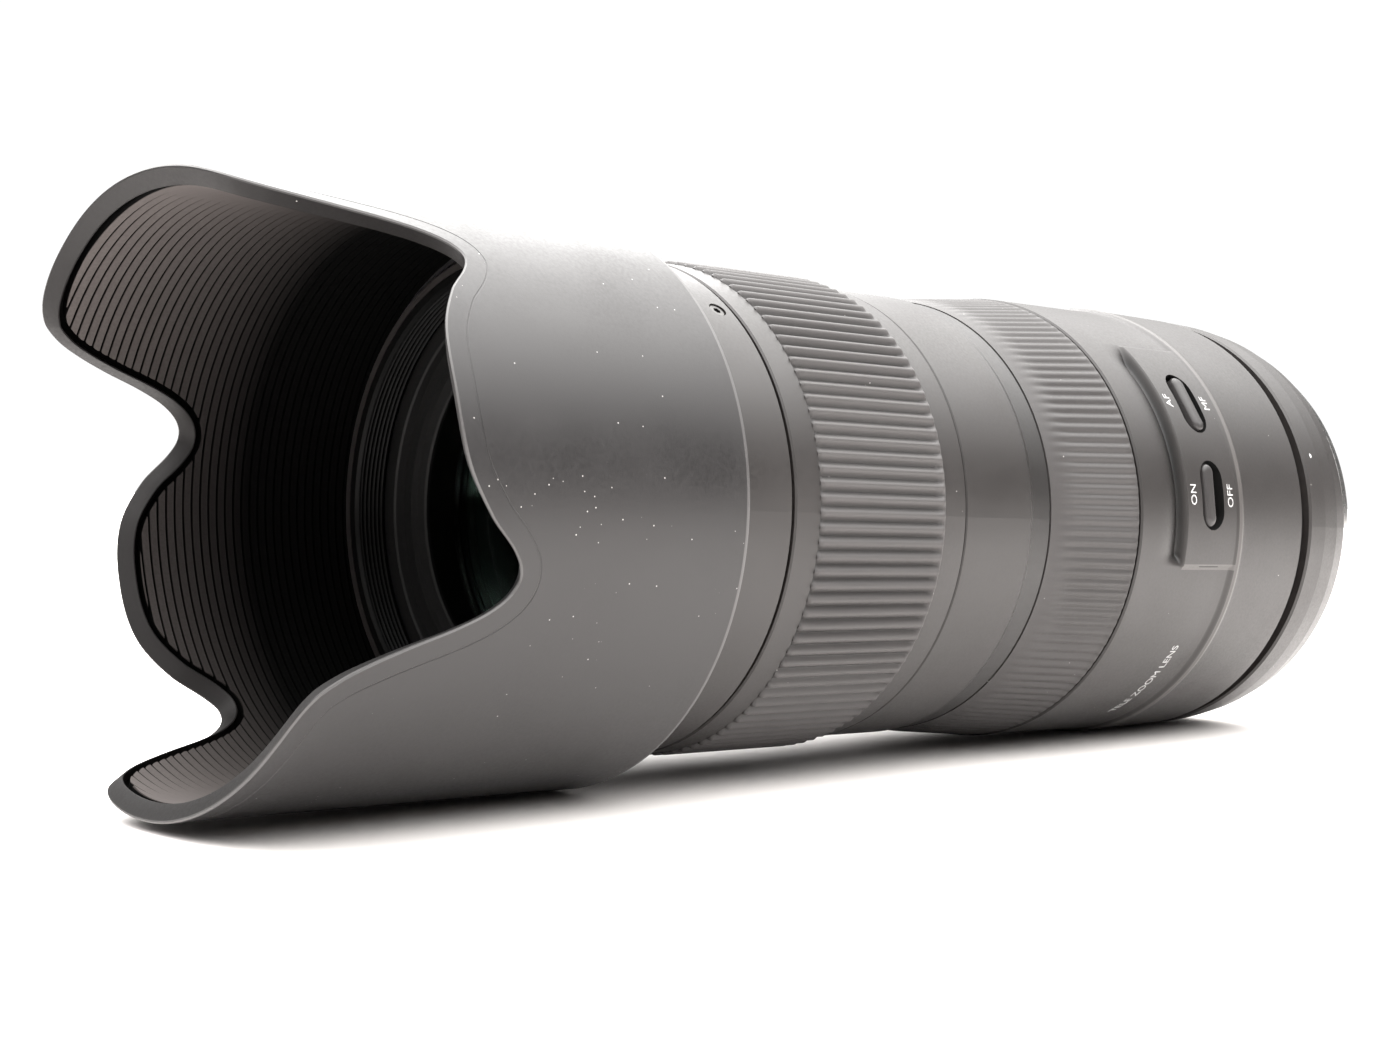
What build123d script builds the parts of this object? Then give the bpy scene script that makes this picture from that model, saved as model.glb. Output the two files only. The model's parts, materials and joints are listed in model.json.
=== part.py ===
from build123d import *
import math
import os

# Telephoto zoom lens for a digital SLR camera, with its petal hood locked on.
# Millimetres, +Z up as the lens lies on its side. The optical axis is the Y axis. The origin is
# the centre of the mounting flange's rear face, and the front of the lens faces -Y.
# A "station" is a distance forward of that flange, so station s lies at y = -s.
# Angles turn about the optical axis from +X (0) towards +Z (90).

os.makedirs("parts", exist_ok=True)

# ---- driving dimensions ----
ROLL = 18.5  # how far the lens is rolled: the switch side's angle above +X
SIDE = ROLL  # angle of the switch panel's side
TOP = ROLL + 90  # angle of the side that is uppermost on the camera
UNDER = ROLL + 270  # angle of the side with the electrical contacts

FIT = 0.08  # radial clearance of a turning or sliding fit
GAP = 0.3  # gap between neighbouring pieces that turn
SEAT = 0.02  # gap between seated pieces of one body

# Stations along the barrel
REAR_RING_START, REAR_RING_END = 4.15, 18.9
HOUSING_START, HOUSING_END = 21.5, 69.6
FOCUS_RING_START, FOCUS_RING_END = 69.9, 90.6
MIDDLE_START, MIDDLE_END = 90.9, 111.55
ZOOM_RING_START, ZOOM_RING_END = 111.85, 149.1
FRONT_BARREL_START, FRONT_END = 149.7, 173.0
HOOD_START = 162.1
MAIN_START, MAIN_END = 21.4, 158.0

# Radii
FLANGE_R = 32.5
REAR_R = 38.0  # rear barrel
FRONT_R = 36.7  # front barrel
MIDDLE_R = 36.0  # slim part of the barrel
SHELL_INNER_R = 35.0
MAIN_R, MAIN_INNER_R = 33.3, 31.2
CAM_R, CAM_INNER_R = 28.6, 27.08
GUIDE_R, GUIDE_INNER_R = 27.0, 25.8
CELL_R = GUIDE_INNER_R - FIT

# Hood
HOOD_R, HOOD_WALL = 41.0, 2.0
HOOD_COLLAR_END = 170.5
HOOD_COLLAR_R = FRONT_R + GAP
HOOD_TURN = 65.0
HOOD_LUG_R, HOOD_LUG_START, HOOD_LUG_END, HOOD_LUG_ARC = 37.9, 165.5, 168.0, 24.0
HOOD_LUG_ANGLES = [TOP + 60, TOP + 180, TOP + 300]

# Filter thread
THREAD_R, THREAD_START = 33.2, 167.4
BEZEL_SEAT_R = THREAD_R + 0.5  # the bezel sits behind the thread, in a wider bore

# Zoom travel
ZOOM_TURN = 75.0
ROLLER_R = 1.6
CAM_PLAY = 0.2  # gap between a roller and each wall of its cam slot
ROLLER_ANGLES = [SIDE, SIDE + 120, SIDE + 240]
VARIATOR_AT, VARIATOR_TRAVEL = 138.0, -34.0
COMPENSATOR_AT, COMPENSATOR_TRAVEL = 82.0, 12.0
CELL_LENGTH = 8.0

# Focus travel
FOCUS_TURN = 110.0
FOCUS_AT, FOCUS_TRAVEL = 60.0, 7.0

# Iris
BLADES = 9
IRIS_STOP_R = 13.5
BLADE_INNER_R, BLADE_OUTER_R = 14.3, 19.0
PIVOT_R, DRIVE_PIN_STEP = 20.5, 22.0  # pivot radius, and the drive pin's angle ahead of it
IRIS_RING_TURN, BLADE_TURN = 26.0, 34.0
IRIS_PIN_R = 0.6
BLADE_START, BLADE_STEP, BLADE_THICK = 45.2, 0.26, 0.16

# Switch panel
PANEL_R = 38.2
PANEL_START, PANEL_END = 41.6, 57.3
PANEL_LOW, PANEL_HIGH = -11.0, 51.5
SWITCH_STATION = 49.65
SLOT_LONG, SLOT_WIDE = 11.8, 6.4
KNOB_LONG, KNOB_WIDE = 10.6, 2.9
SWITCH_TRAVEL = 1.2
FOCUS_MODE_ANGLE, STABILISER_ANGLE = 32.5, 7.3

optical_axis = Axis((0, 0, 0), (0, -1, 0))


def station(forward):
    """Plane across the optical axis at a station, facing forward, with its x along +X."""
    return Plane(origin=(0, -forward, 0), x_dir=(1, 0, 0), z_dir=(0, -1, 0))


def spoke(angle):
    """Direction that points out from the optical axis at an angle."""
    return Vector(math.cos(math.radians(angle)), 0, math.sin(math.radians(angle)))


def outward(angle, radius, forward):
    """Plane that faces out from the optical axis, with its x direction forward."""
    origin = spoke(angle) * radius + Vector(0, -forward, 0)
    return Plane(origin=origin, x_dir=(0, -1, 0), z_dir=spoke(angle))


def polar(radius, angle):
    """Point in a plane across the optical axis."""
    return (radius * math.cos(math.radians(angle)), radius * math.sin(math.radians(angle)))


def turn(*corners, start=0.0, arc=360.0, mode=Mode.ADD):
    """Revolve a closed outline of (radius, station) corners about the optical axis."""
    side = Plane(origin=(0, 0, 0), x_dir=spoke(start), z_dir=spoke(start + 90))
    with BuildSketch(side) as outline:
        with BuildLine():
            Polyline(*[(radius, -forward) for radius, forward in corners], close=True)
        make_face()
    revolve(outline.sketch, axis=optical_axis, revolution_arc=arc, mode=mode)


def ring(inner, outer, start, end, mode=Mode.ADD):
    """Plain ring between two radii and two stations."""
    turn((inner, start), (outer, start), (outer, end), (inner, end), mode=mode)


def arc_block(inner, outer, start, end, angle, arc, mode=Mode.ADD):
    """Part of a ring, centred on an angle."""
    corners = [(inner, start), (outer, start), (outer, end), (inner, end)]
    turn(*corners, start=angle - arc / 2, arc=arc, mode=mode)


def pin(angle, radius, start, end, pin_radius, mode=Mode.ADD):
    """Round pin parallel to the optical axis."""
    with BuildSketch(station(start)) as outline:
        with Locations(polar(radius, angle)):
            Circle(pin_radius)
    extrude(outline.sketch, amount=end - start, mode=mode)


def radial_pin(angle, forward, inner, outer, pin_radius, mode=Mode.ADD):
    """Round pin that points out from the optical axis."""
    with BuildSketch(outward(angle, inner, forward)) as outline:
        Circle(pin_radius)
    extrude(outline.sketch, amount=outer - inner, mode=mode)


def guide_slot(angle, start, end):
    """Straight slot through the guide tube for a roller that rests between two stations."""
    reach = abs(end - start) + 2 * (ROLLER_R + FIT)
    with BuildSketch(outward(angle, GUIDE_INNER_R - 2, (start + end) / 2)) as outline:
        SlotOverall(reach + 0.4, 2 * (ROLLER_R + FIT))
    extrude(outline.sketch, amount=4, mode=Mode.SUBTRACT)


def cam_slot(angle, forward, travel, turning, lead_in=7.0):
    """Helical slot through a cam tube that moves a roller by travel as the tube turns."""
    slope = travel / turning
    slant = math.atan2(abs(travel), math.radians(turning) * CAM_R)
    axial_width = 2 * (ROLLER_R + CAM_PLAY) / math.cos(slant)
    arc = turning + 2 * lead_in
    origin = Vector(0, -forward + slope * lead_in, 0)
    along = Vector(0, -1 if travel > 0 else 1, 0)
    frame = Plane(origin=origin, x_dir=spoke(angle + lead_in), z_dir=along)
    pitch = abs(slope) * 360
    helix = Edge.make_helix(pitch, abs(slope) * arc, (CAM_R + CAM_INNER_R) / 2, lefthand=travel > 0)
    path = frame.from_local_coords(helix)
    across = Plane(origin=path @ 0, x_dir=spoke(angle + lead_in), z_dir=spoke(angle + lead_in + 90))
    with BuildSketch(across) as outline:
        Rectangle(4, axial_width)
    sweep(outline.sketch, path=path, is_frenet=True, mode=Mode.SUBTRACT)


def surface(radius, edge, bulge, at):
    """Station of a lens face at a radius: it leaves its edge station by bulge on the axis."""
    sphere = (radius**2 + bulge**2) / (2 * abs(bulge))
    rise = math.sqrt(sphere**2 - at**2) - (sphere - abs(bulge))
    return edge + math.copysign(rise, bulge)


def lens(radius, rear, front, rear_bulge, front_bulge):
    """Glass element whose faces bulge forward by the given amounts, or rearward if negative."""
    with BuildSketch(Plane.XY) as section:
        with BuildLine():
            Line((radius, -rear), (radius, -front))
            front_mid = (radius / 2, -surface(radius, front, front_bulge, radius / 2))
            ThreePointArc((radius, -front), front_mid, (0, -front - front_bulge))
            Line((0, -front - front_bulge), (0, -rear - rear_bulge))
            rear_mid = (radius / 2, -surface(radius, rear, rear_bulge, radius / 2))
            ThreePointArc((0, -rear - rear_bulge), rear_mid, (radius, -rear))
        make_face()
    revolve(section.sketch, axis=optical_axis)


def rollers(forward):
    """Three pins from a lens cell through the guide slots into the cam slots."""
    for angle in ROLLER_ANGLES:
        radial_pin(angle, forward, 24.0, CAM_R - 0.1, ROLLER_R)


def cell(middle, lens_r, opening_r):
    """Moving lens cell with a seat for its glass and sockets for its rollers."""
    rear, front = middle - CELL_LENGTH / 2, middle + CELL_LENGTH / 2
    ring(lens_r + SEAT, CELL_R, rear, front)
    ring(opening_r, lens_r + SEAT, rear, rear + 1.0)
    for angle in ROLLER_ANGLES:
        radial_pin(angle, middle, 24.0 - SEAT, CELL_R + 1, ROLLER_R + SEAT, mode=Mode.SUBTRACT)


def save(piece, name):
    """Label a finished piece and write it as its own STEP file."""
    piece.part.label = name
    export_step(piece.part, f"parts/{name}.step")


# ---- rear: bayonet mount ----
BAYONET_R, BAYONET_INNER_R, BAYONET_LENGTH = 26.9, 24.8, 4.8
MOUNT_SCREW_R = 29.8
MOUNT_SCREW_ANGLES = [TOP + 45, TOP + 135, TOP + 225, TOP + 315]
LUG_R, LUG_FRONT, LUG_ARC = 28.9, -3.2, 46.0
BAFFLE_START, BAFFLE_END = -2.4, -1.4
WELL_LONG, WELL_HIGH = 34.0, 24.0

with BuildPart() as mount_bayonet:
    ring(BAYONET_INNER_R, FLANGE_R, 0, 1.8)
    ring(BAYONET_INNER_R, 31.9, 1.8, REAR_RING_START - SEAT)
    ring(BAYONET_INNER_R, BAYONET_R, -BAYONET_LENGTH, 0)
    for angle in (TOP, TOP + 120, TOP + 240):
        arc_block(BAYONET_R - 0.5, LUG_R, -BAYONET_LENGTH, LUG_FRONT, angle, LUG_ARC)
    for angle in MOUNT_SCREW_ANGLES:
        pin(angle, MOUNT_SCREW_R, -1, 1.4, 1.7, mode=Mode.SUBTRACT)
        pin(angle, MOUNT_SCREW_R, 1.0, 5, 0.95, mode=Mode.SUBTRACT)
save(mount_bayonet, "mount_bayonet")

with BuildPart() as mount_screws:
    for angle in MOUNT_SCREW_ANGLES:
        pin(angle, MOUNT_SCREW_R, 0.15, 1.38, 1.6)
        pin(angle, MOUNT_SCREW_R, 1.38, 5.6, 0.85)
        with BuildSketch(station(0)) as cross:
            with Locations(polar(MOUNT_SCREW_R, angle)):
                Rectangle(1.9, 0.5)
                Rectangle(0.5, 1.9)
        extrude(cross.sketch, amount=0.7, mode=Mode.SUBTRACT)
save(mount_screws, "mount_screws")

with BuildPart() as rear_light_baffle:
    ring(0, BAYONET_INNER_R - SEAT, BAFFLE_START, BAFFLE_END)
    with BuildSketch(station(BAFFLE_START - 1)) as window:
        with Locations(Location((*polar(1.5, TOP), 0), ROLL)):
            RectangleRounded(WELL_LONG, WELL_HIGH, 2)
    extrude(window.sketch, amount=3, mode=Mode.SUBTRACT)
save(rear_light_baffle, "rear_light_baffle")

CONTACTS, CONTACT_PITCH, CONTACT_R = 8, 6.6, 22.9
CONTACT_PIN_R, CONTACT_REAR, CONTACT_FRONT = 0.85, -4.8, -3.02
with BuildPart() as contact_block:
    arc_block(21.2, BAYONET_INNER_R - SEAT, -4.6, BAFFLE_START - SEAT, UNDER, 60)
    for index in range(CONTACTS):
        angle = UNDER + (index - (CONTACTS - 1) / 2) * CONTACT_PITCH
        pin(angle, CONTACT_R, -5, -3, CONTACT_PIN_R + SEAT, mode=Mode.SUBTRACT)
save(contact_block, "contact_block")

with BuildPart() as contact_pins:
    for index in range(CONTACTS):
        angle = UNDER + (index - (CONTACTS - 1) / 2) * CONTACT_PITCH
        pin(angle, CONTACT_R, CONTACT_REAR, CONTACT_FRONT, CONTACT_PIN_R)
save(contact_pins, "contact_pins")

# ---- rear: trim ring, rear ring and electronics ----
with BuildPart() as silver_trim_ring:
    turn(
        (FLANGE_R + SEAT, 0.1),
        (34.2, 0.1),
        (34.75, 0.6),
        (35.8, 3.8),
        (35.6, REAR_RING_START - SEAT),
        (FLANGE_R + SEAT, REAR_RING_START - SEAT),
    )
save(silver_trim_ring, "silver_trim_ring")

with BuildPart() as rear_ring:
    turn(
        (26.4, REAR_RING_START),
        (35.7, REAR_RING_START),
        (36.2, 4.6),
        (37.2, 8.6),
        (37.8, 13.5),
        (REAR_R, REAR_RING_END - 0.5),
        (REAR_R - 0.3, REAR_RING_END),
        (SHELL_INNER_R, REAR_RING_END),
        (SHELL_INNER_R, 6.0),
        (26.4, 6.0),
    )
    for angle in MOUNT_SCREW_ANGLES:
        pin(angle, MOUNT_SCREW_R, 3, 7, 0.87, mode=Mode.SUBTRACT)
save(rear_ring, "rear_ring")

BOARD_START, BOARD_END = 15.5, 16.7
with BuildPart() as circuit_board:
    ring(26.6, 34.0, BOARD_START, BOARD_END)
    for angle, arc in ((UNDER, 24), (UNDER + 60, 12), (UNDER - 55, 16), (SIDE + 30, 10)):
        arc_block(28.0, 32.5, BOARD_END, BOARD_END + 1.5, angle, arc)
save(circuit_board, "circuit_board")

REAR_GLASS_R = 17.0
REAR_CELL_START, REAR_CELL_END = 6.5, 19.0
with BuildPart() as rear_element:
    lens(REAR_GLASS_R, 9.0, 13.0, -1.6, 2.4)
save(rear_element, "rear_element")

with BuildPart() as rear_lens_cell:
    ring(REAR_GLASS_R + SEAT, 25.6, REAR_CELL_START, REAR_CELL_END)
    ring(REAR_GLASS_R - 0.8, REAR_GLASS_R + SEAT, 13.4, REAR_CELL_END)
    ring(REAR_GLASS_R - 0.8, REAR_GLASS_R + SEAT, REAR_CELL_START, 8.7)
    ring(REAR_GLASS_R + SEAT, MAIN_R, REAR_CELL_END, MAIN_START - SEAT)
save(rear_lens_cell, "rear_lens_cell")

# ---- rear housing with its raised switch panel ----
SCOOP_REACH, SCOOP_R = 9.0, 37.0  # how far the scoop runs forward of the panel, and its depth
GROOVE_R = 36.4
SLOT_FLOOR_R = 36.3  # floor of the switch slots
BEVEL_START, BEVEL_END = 41.3, 43.2

with BuildPart() as rear_housing:
    turn(
        (SHELL_INNER_R, REAR_RING_END + SEAT),
        (GROOVE_R, REAR_RING_END + SEAT),
        (GROOVE_R, HOUSING_START),
        (REAR_R - 0.2, HOUSING_START),
        (REAR_R + 0.1, HOUSING_START + 0.4),
        (REAR_R + 0.4, BEVEL_START),
        (REAR_R - 0.1, BEVEL_END),
        (REAR_R - 0.15, HOUSING_END - 0.3),
        (REAR_R - 0.45, HOUSING_END),
        (MAIN_R + SEAT, HOUSING_END),
        (MAIN_R + SEAT, HOUSING_END - 3),
        (SHELL_INNER_R, HOUSING_END - 4),
    )
    ring(MAIN_R + SEAT, 36.0, HOUSING_START + 0.3, HOUSING_START + 3)
    turn(
        (REAR_R - 1, PANEL_START),
        (PANEL_R, PANEL_START),
        (PANEL_R, PANEL_END - 0.3),
        (PANEL_R - 0.3, PANEL_END),
        (REAR_R - 1, PANEL_END),
        start=PANEL_LOW,
        arc=PANEL_HIGH - PANEL_LOW,
    )
    turn(
        (SCOOP_R, PANEL_END),
        (REAR_R + 1, PANEL_END),
        (REAR_R + 1, PANEL_END + SCOOP_REACH),
        (REAR_R + 0.2, PANEL_END + SCOOP_REACH),
        start=PANEL_LOW + 1,
        arc=PANEL_HIGH - PANEL_LOW - 2,
        mode=Mode.SUBTRACT,
    )
    for angle in (FOCUS_MODE_ANGLE, STABILISER_ANGLE):
        with BuildSketch(outward(angle, SLOT_FLOOR_R, SWITCH_STATION)) as slot:
            SlotOverall(SLOT_LONG, SLOT_WIDE, rotation=90)
        extrude(slot.sketch, amount=5, mode=Mode.SUBTRACT)
save(rear_housing, "rear_housing")


def knob(angle, middle):
    """Switch knob: a rounded bar whose top follows the panel, standing a little proud of it."""
    with BuildSketch(outward(angle, SLOT_FLOOR_R + 0.2, middle)) as outline:
        SlotOverall(KNOB_LONG, KNOB_WIDE, rotation=90)
    extrude(outline.sketch, amount=5)
    ring(36.0, PANEL_R + 0.25, middle - 5, middle + 5, mode=Mode.INTERSECT)


# The focus switch rests at its rear stop (manual), the stabiliser switch at its front stop (on).
with BuildPart() as focus_mode_switch:
    knob(FOCUS_MODE_ANGLE, SWITCH_STATION - SWITCH_TRAVEL / 2)
save(focus_mode_switch, "focus_mode_switch")

with BuildPart() as stabiliser_switch:
    knob(STABILISER_ANGLE, SWITCH_STATION + SWITCH_TRAVEL / 2)
save(stabiliser_switch, "stabiliser_switch")

# ---- load-bearing barrel ----
ZOOM_KEY_AT, ZOOM_KEY_ANGLE = 131.0, 200.0
FOCUS_KEY_AT, FOCUS_KEY_ANGLE = 73.2, 60.0
KEY_HALF, KEY_ARC, KEY_R = 1.5, 6.0, 34.85
KEY_POCKET_R = KEY_R + 0.05
SCREW_STATION, SCREW_THREAD_R, SCREW_HEAD_R = 152.5, 0.7, 1.15
BARREL_SCREW_ANGLES = [50.0, 170.0, 290.0]

with BuildPart() as main_barrel:
    ring(MAIN_INNER_R, MAIN_R, MAIN_START, MAIN_END)
    ring(MAIN_INNER_R, SHELL_INNER_R - 0.1 - SEAT, FRONT_BARREL_START + 0.2, MAIN_END)
    zoom_slot_arc = ZOOM_TURN + KEY_ARC + 6
    zoom_slot_middle = ZOOM_KEY_ANGLE + ZOOM_TURN / 2
    zoom_slot = (ZOOM_KEY_AT - KEY_HALF - GAP, ZOOM_KEY_AT + KEY_HALF + GAP)
    arc_block(MAIN_INNER_R - 1, MAIN_R + 1, *zoom_slot, zoom_slot_middle, zoom_slot_arc, mode=Mode.SUBTRACT)
    focus_slot_arc = FOCUS_TURN + KEY_ARC + 6
    focus_slot_middle = FOCUS_KEY_ANGLE + FOCUS_TURN / 2
    focus_slot = (FOCUS_KEY_AT - KEY_HALF - GAP, FOCUS_KEY_AT + KEY_HALF + GAP)
    arc_block(MAIN_INNER_R - 1, MAIN_R + 1, *focus_slot, focus_slot_middle, focus_slot_arc, mode=Mode.SUBTRACT)
    for angle in BARREL_SCREW_ANGLES:
        radial_pin(angle, SCREW_STATION, 32.4, 36, SCREW_THREAD_R + 0.05, mode=Mode.SUBTRACT)
save(main_barrel, "main_barrel")

GUIDE_END = 147.0
with BuildPart() as guide_tube:
    ring(GUIDE_INNER_R, GUIDE_R, MAIN_START + SEAT, GUIDE_END)
    ring(GUIDE_R - 0.5, MAIN_INNER_R - SEAT, MAIN_START + SEAT, 23.0)
    ring(GUIDE_R - 0.5, MAIN_INNER_R - SEAT, GUIDE_END - 1.4, GUIDE_END)
    for angle in ROLLER_ANGLES:
        guide_slot(angle, VARIATOR_AT, VARIATOR_AT + VARIATOR_TRAVEL)
        guide_slot(angle, COMPENSATOR_AT, COMPENSATOR_AT + COMPENSATOR_TRAVEL)
        guide_slot(angle, FOCUS_AT, FOCUS_AT + FOCUS_TRAVEL)
save(guide_tube, "guide_tube")

# ---- middle barrel with the distance window ----
WINDOW_ARC, WINDOW_START, WINDOW_END = 36.0, 98.6, 107.4
BAND_R, BAND_END = 35.5, 95.0
DRUM_R, DRUM_INNER_R, DRUM_END = 34.2, 33.5, 109.5

with BuildPart() as middle_barrel:
    turn(
        (DRUM_R + GAP, MIDDLE_START),
        (BAND_R, MIDDLE_START),
        (BAND_R, BAND_END),
        (MIDDLE_R, BAND_END + 1.2),
        (MIDDLE_R, MIDDLE_END - 0.2),
        (MIDDLE_R - 0.2, MIDDLE_END),
        (MAIN_R + SEAT, MIDDLE_END),
        (MAIN_R + SEAT, DRUM_END + 0.4),
        (DRUM_R + GAP, DRUM_END + 0.4),
    )
    arc_block(34, 37, WINDOW_START, WINDOW_END, TOP, WINDOW_ARC, mode=Mode.SUBTRACT)
save(middle_barrel, "middle_barrel")

with BuildPart() as distance_window:
    pane_arc = WINDOW_ARC - 0.1
    arc_block(34.8, 35.8, WINDOW_START + SEAT, WINDOW_END - SEAT, TOP, pane_arc)
save(distance_window, "distance_window")

# ---- zoom group: ring, grip and the cam barrel whose key the ring turns ----
ZOOM_GRIP_R, ZOOM_GRIP_START, ZOOM_GRIP_END = 37.2, 117.3, 144.2
GRIP_SEAT_R = 35.9
CAM_START, CAM_END = 77.0, 145.3

with BuildPart() as zoom_ring:
    turn(
        (MAIN_R + FIT, ZOOM_RING_START),
        (MIDDLE_R - 0.1, ZOOM_RING_START),
        (MIDDLE_R + 0.1, ZOOM_RING_START + 0.2),
        (MIDDLE_R + 0.3, ZOOM_GRIP_START - 0.3),
        (GRIP_SEAT_R, ZOOM_GRIP_START - 0.1),
        (GRIP_SEAT_R, ZOOM_GRIP_END + 0.02),
        (FRONT_R, ZOOM_GRIP_END + 0.02),
        (FRONT_R, ZOOM_RING_END - 0.25),
        (FRONT_R - 0.25, ZOOM_RING_END),
        (MAIN_R + FIT, ZOOM_RING_END),
    )
    pocket = (ZOOM_KEY_AT - KEY_HALF - SEAT, ZOOM_KEY_AT + KEY_HALF + SEAT)
    arc_block(33, KEY_POCKET_R, *pocket, ZOOM_KEY_ANGLE, KEY_ARC + 0.1, mode=Mode.SUBTRACT)
save(zoom_ring, "zoom_ring")

with BuildPart() as zoom_grip:
    turn(
        (GRIP_SEAT_R + SEAT, ZOOM_GRIP_START),
        (ZOOM_GRIP_R - 0.3, ZOOM_GRIP_START),
        (ZOOM_GRIP_R, ZOOM_GRIP_START + 0.3),
        (ZOOM_GRIP_R, ZOOM_GRIP_END - 0.3),
        (ZOOM_GRIP_R - 0.3, ZOOM_GRIP_END),
        (GRIP_SEAT_R + SEAT, ZOOM_GRIP_END),
    )
save(zoom_grip, "zoom_grip")

with BuildPart() as cam_barrel:
    ring(CAM_INNER_R, CAM_R, CAM_START, CAM_END)
    key_span = (ZOOM_KEY_AT - KEY_HALF, ZOOM_KEY_AT + KEY_HALF)
    arc_block(CAM_R - 0.5, KEY_R, *key_span, ZOOM_KEY_ANGLE, KEY_ARC)
    for angle in ROLLER_ANGLES:
        cam_slot(angle, VARIATOR_AT, VARIATOR_TRAVEL, ZOOM_TURN)
        cam_slot(angle, COMPENSATOR_AT, COMPENSATOR_TRAVEL, ZOOM_TURN)
save(cam_barrel, "cam_barrel")

# ---- focus group: ring, grip, distance drum, cam tube and the motor's rotor ----
FOCUS_GRIP_FRONT_R, FOCUS_GRIP_REAR_R = 36.0, 37.7
GRIP_THICK = 1.1
FOCUS_CAM_START, FOCUS_CAM_END = 54.0, 75.2
ROTOR_START, STATOR_START = 50.8, 44.0

with BuildPart() as focus_ring:
    turn(
        (MAIN_R + FIT, FOCUS_RING_START),
        (FOCUS_GRIP_REAR_R - GRIP_THICK, FOCUS_RING_START),
        (FOCUS_GRIP_FRONT_R - GRIP_THICK, FOCUS_RING_END),
        (DRUM_R + SEAT, FOCUS_RING_END),
        (DRUM_R + SEAT, FOCUS_RING_END - 2.6),
        (MAIN_R + FIT, FOCUS_RING_END - 2.6),
    )
    pocket = (FOCUS_KEY_AT - KEY_HALF - SEAT, FOCUS_KEY_AT + KEY_HALF + SEAT)
    arc_block(33, KEY_POCKET_R, *pocket, FOCUS_KEY_ANGLE, KEY_ARC + 0.1, mode=Mode.SUBTRACT)
save(focus_ring, "focus_ring")

with BuildPart() as focus_grip:
    turn(
        (FOCUS_GRIP_REAR_R - GRIP_THICK + SEAT, FOCUS_RING_START),
        (FOCUS_GRIP_REAR_R - 0.3, FOCUS_RING_START),
        (FOCUS_GRIP_REAR_R, FOCUS_RING_START + 0.3),
        (FOCUS_GRIP_FRONT_R, FOCUS_RING_END - 0.3),
        (FOCUS_GRIP_FRONT_R - 0.3, FOCUS_RING_END),
        (FOCUS_GRIP_FRONT_R - GRIP_THICK + SEAT, FOCUS_RING_END),
    )
save(focus_grip, "focus_grip")

with BuildPart() as distance_drum:
    ring(DRUM_INNER_R, DRUM_R, FOCUS_RING_END - 2.5, DRUM_END)
save(distance_drum, "distance_drum")

with BuildPart() as focus_cam_tube:
    ring(CAM_INNER_R, CAM_R, FOCUS_CAM_START, FOCUS_CAM_END)
    key_span = (FOCUS_KEY_AT - KEY_HALF, FOCUS_KEY_AT + KEY_HALF)
    arc_block(CAM_R - 0.5, KEY_R, *key_span, FOCUS_KEY_ANGLE, KEY_ARC)
    for angle in ROLLER_ANGLES:
        cam_slot(angle, FOCUS_AT, FOCUS_TRAVEL, FOCUS_TURN, lead_in=4.5)
save(focus_cam_tube, "focus_cam_tube")

with BuildPart() as focus_motor_rotor:
    ring(CAM_INNER_R + SEAT, 30.9, ROTOR_START, FOCUS_CAM_START - SEAT)
save(focus_motor_rotor, "focus_motor_rotor")

STATOR_TEETH = 24
with BuildPart() as focus_motor_stator:
    ring(28.8, MAIN_INNER_R - SEAT, STATOR_START, ROTOR_START - 0.2)
    for index in range(STATOR_TEETH):
        arc_block(28, 32, 49.2, 51, index * 360 / STATOR_TEETH, 3, mode=Mode.SUBTRACT)
save(focus_motor_stator, "focus_motor_stator")

# ---- moving lens cells ----
VARIATOR_GLASS_R, COMPENSATOR_GLASS_R, FOCUS_GLASS_R = 19.0, 18.0, 17.0
SEAT_INSET = 1.2

with BuildPart() as variator_cell:
    cell(VARIATOR_AT, VARIATOR_GLASS_R, VARIATOR_GLASS_R - SEAT_INSET)
save(variator_cell, "variator_cell")

with BuildPart() as variator_element:
    lens(VARIATOR_GLASS_R, VARIATOR_AT - 2.9, VARIATOR_AT + 3.6, 2.0, -2.4)
save(variator_element, "variator_element")

with BuildPart() as variator_rollers:
    rollers(VARIATOR_AT)
save(variator_rollers, "variator_rollers")

with BuildPart() as compensator_cell:
    cell(COMPENSATOR_AT, COMPENSATOR_GLASS_R, COMPENSATOR_GLASS_R - SEAT_INSET)
save(compensator_cell, "compensator_cell")

with BuildPart() as compensator_element:
    lens(COMPENSATOR_GLASS_R, COMPENSATOR_AT - 2.9, COMPENSATOR_AT + 1.0, -0.8, 2.6)
save(compensator_element, "compensator_element")

with BuildPart() as compensator_rollers:
    rollers(COMPENSATOR_AT)
save(compensator_rollers, "compensator_rollers")

with BuildPart() as focus_cell:
    cell(FOCUS_AT, FOCUS_GLASS_R, FOCUS_GLASS_R - SEAT_INSET)
save(focus_cell, "focus_cell")

with BuildPart() as focus_element:
    lens(FOCUS_GLASS_R, FOCUS_AT - 2.9, FOCUS_AT + 3.0, 2.6, -1.4)
save(focus_element, "focus_element")

with BuildPart() as focus_rollers:
    rollers(FOCUS_AT)
save(focus_rollers, "focus_rollers")

# ---- stabiliser: base, magnets, carriage and the floating lens cell ----
STABILISER_GLASS_R = 12.5
BASE_START, BASE_END = 24.0, 26.0
CARRIAGE_START, FLOATING_START = 27.9, 30.0

with BuildPart() as stabiliser_base:
    ring(16.5, CELL_R, BASE_START, BASE_END)
save(stabiliser_base, "stabiliser_base")

with BuildPart() as stabiliser_magnets:
    for angle in (SIDE, TOP, SIDE + 180, UNDER):
        arc_block(18.5, 23.5, BASE_END + SEAT, 27.4, angle, 40)
save(stabiliser_magnets, "stabiliser_magnets")

with BuildPart() as stabiliser_carriage:
    ring(15.6, 23.8, CARRIAGE_START, FLOATING_START - 0.4)
save(stabiliser_carriage, "stabiliser_carriage")

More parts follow.
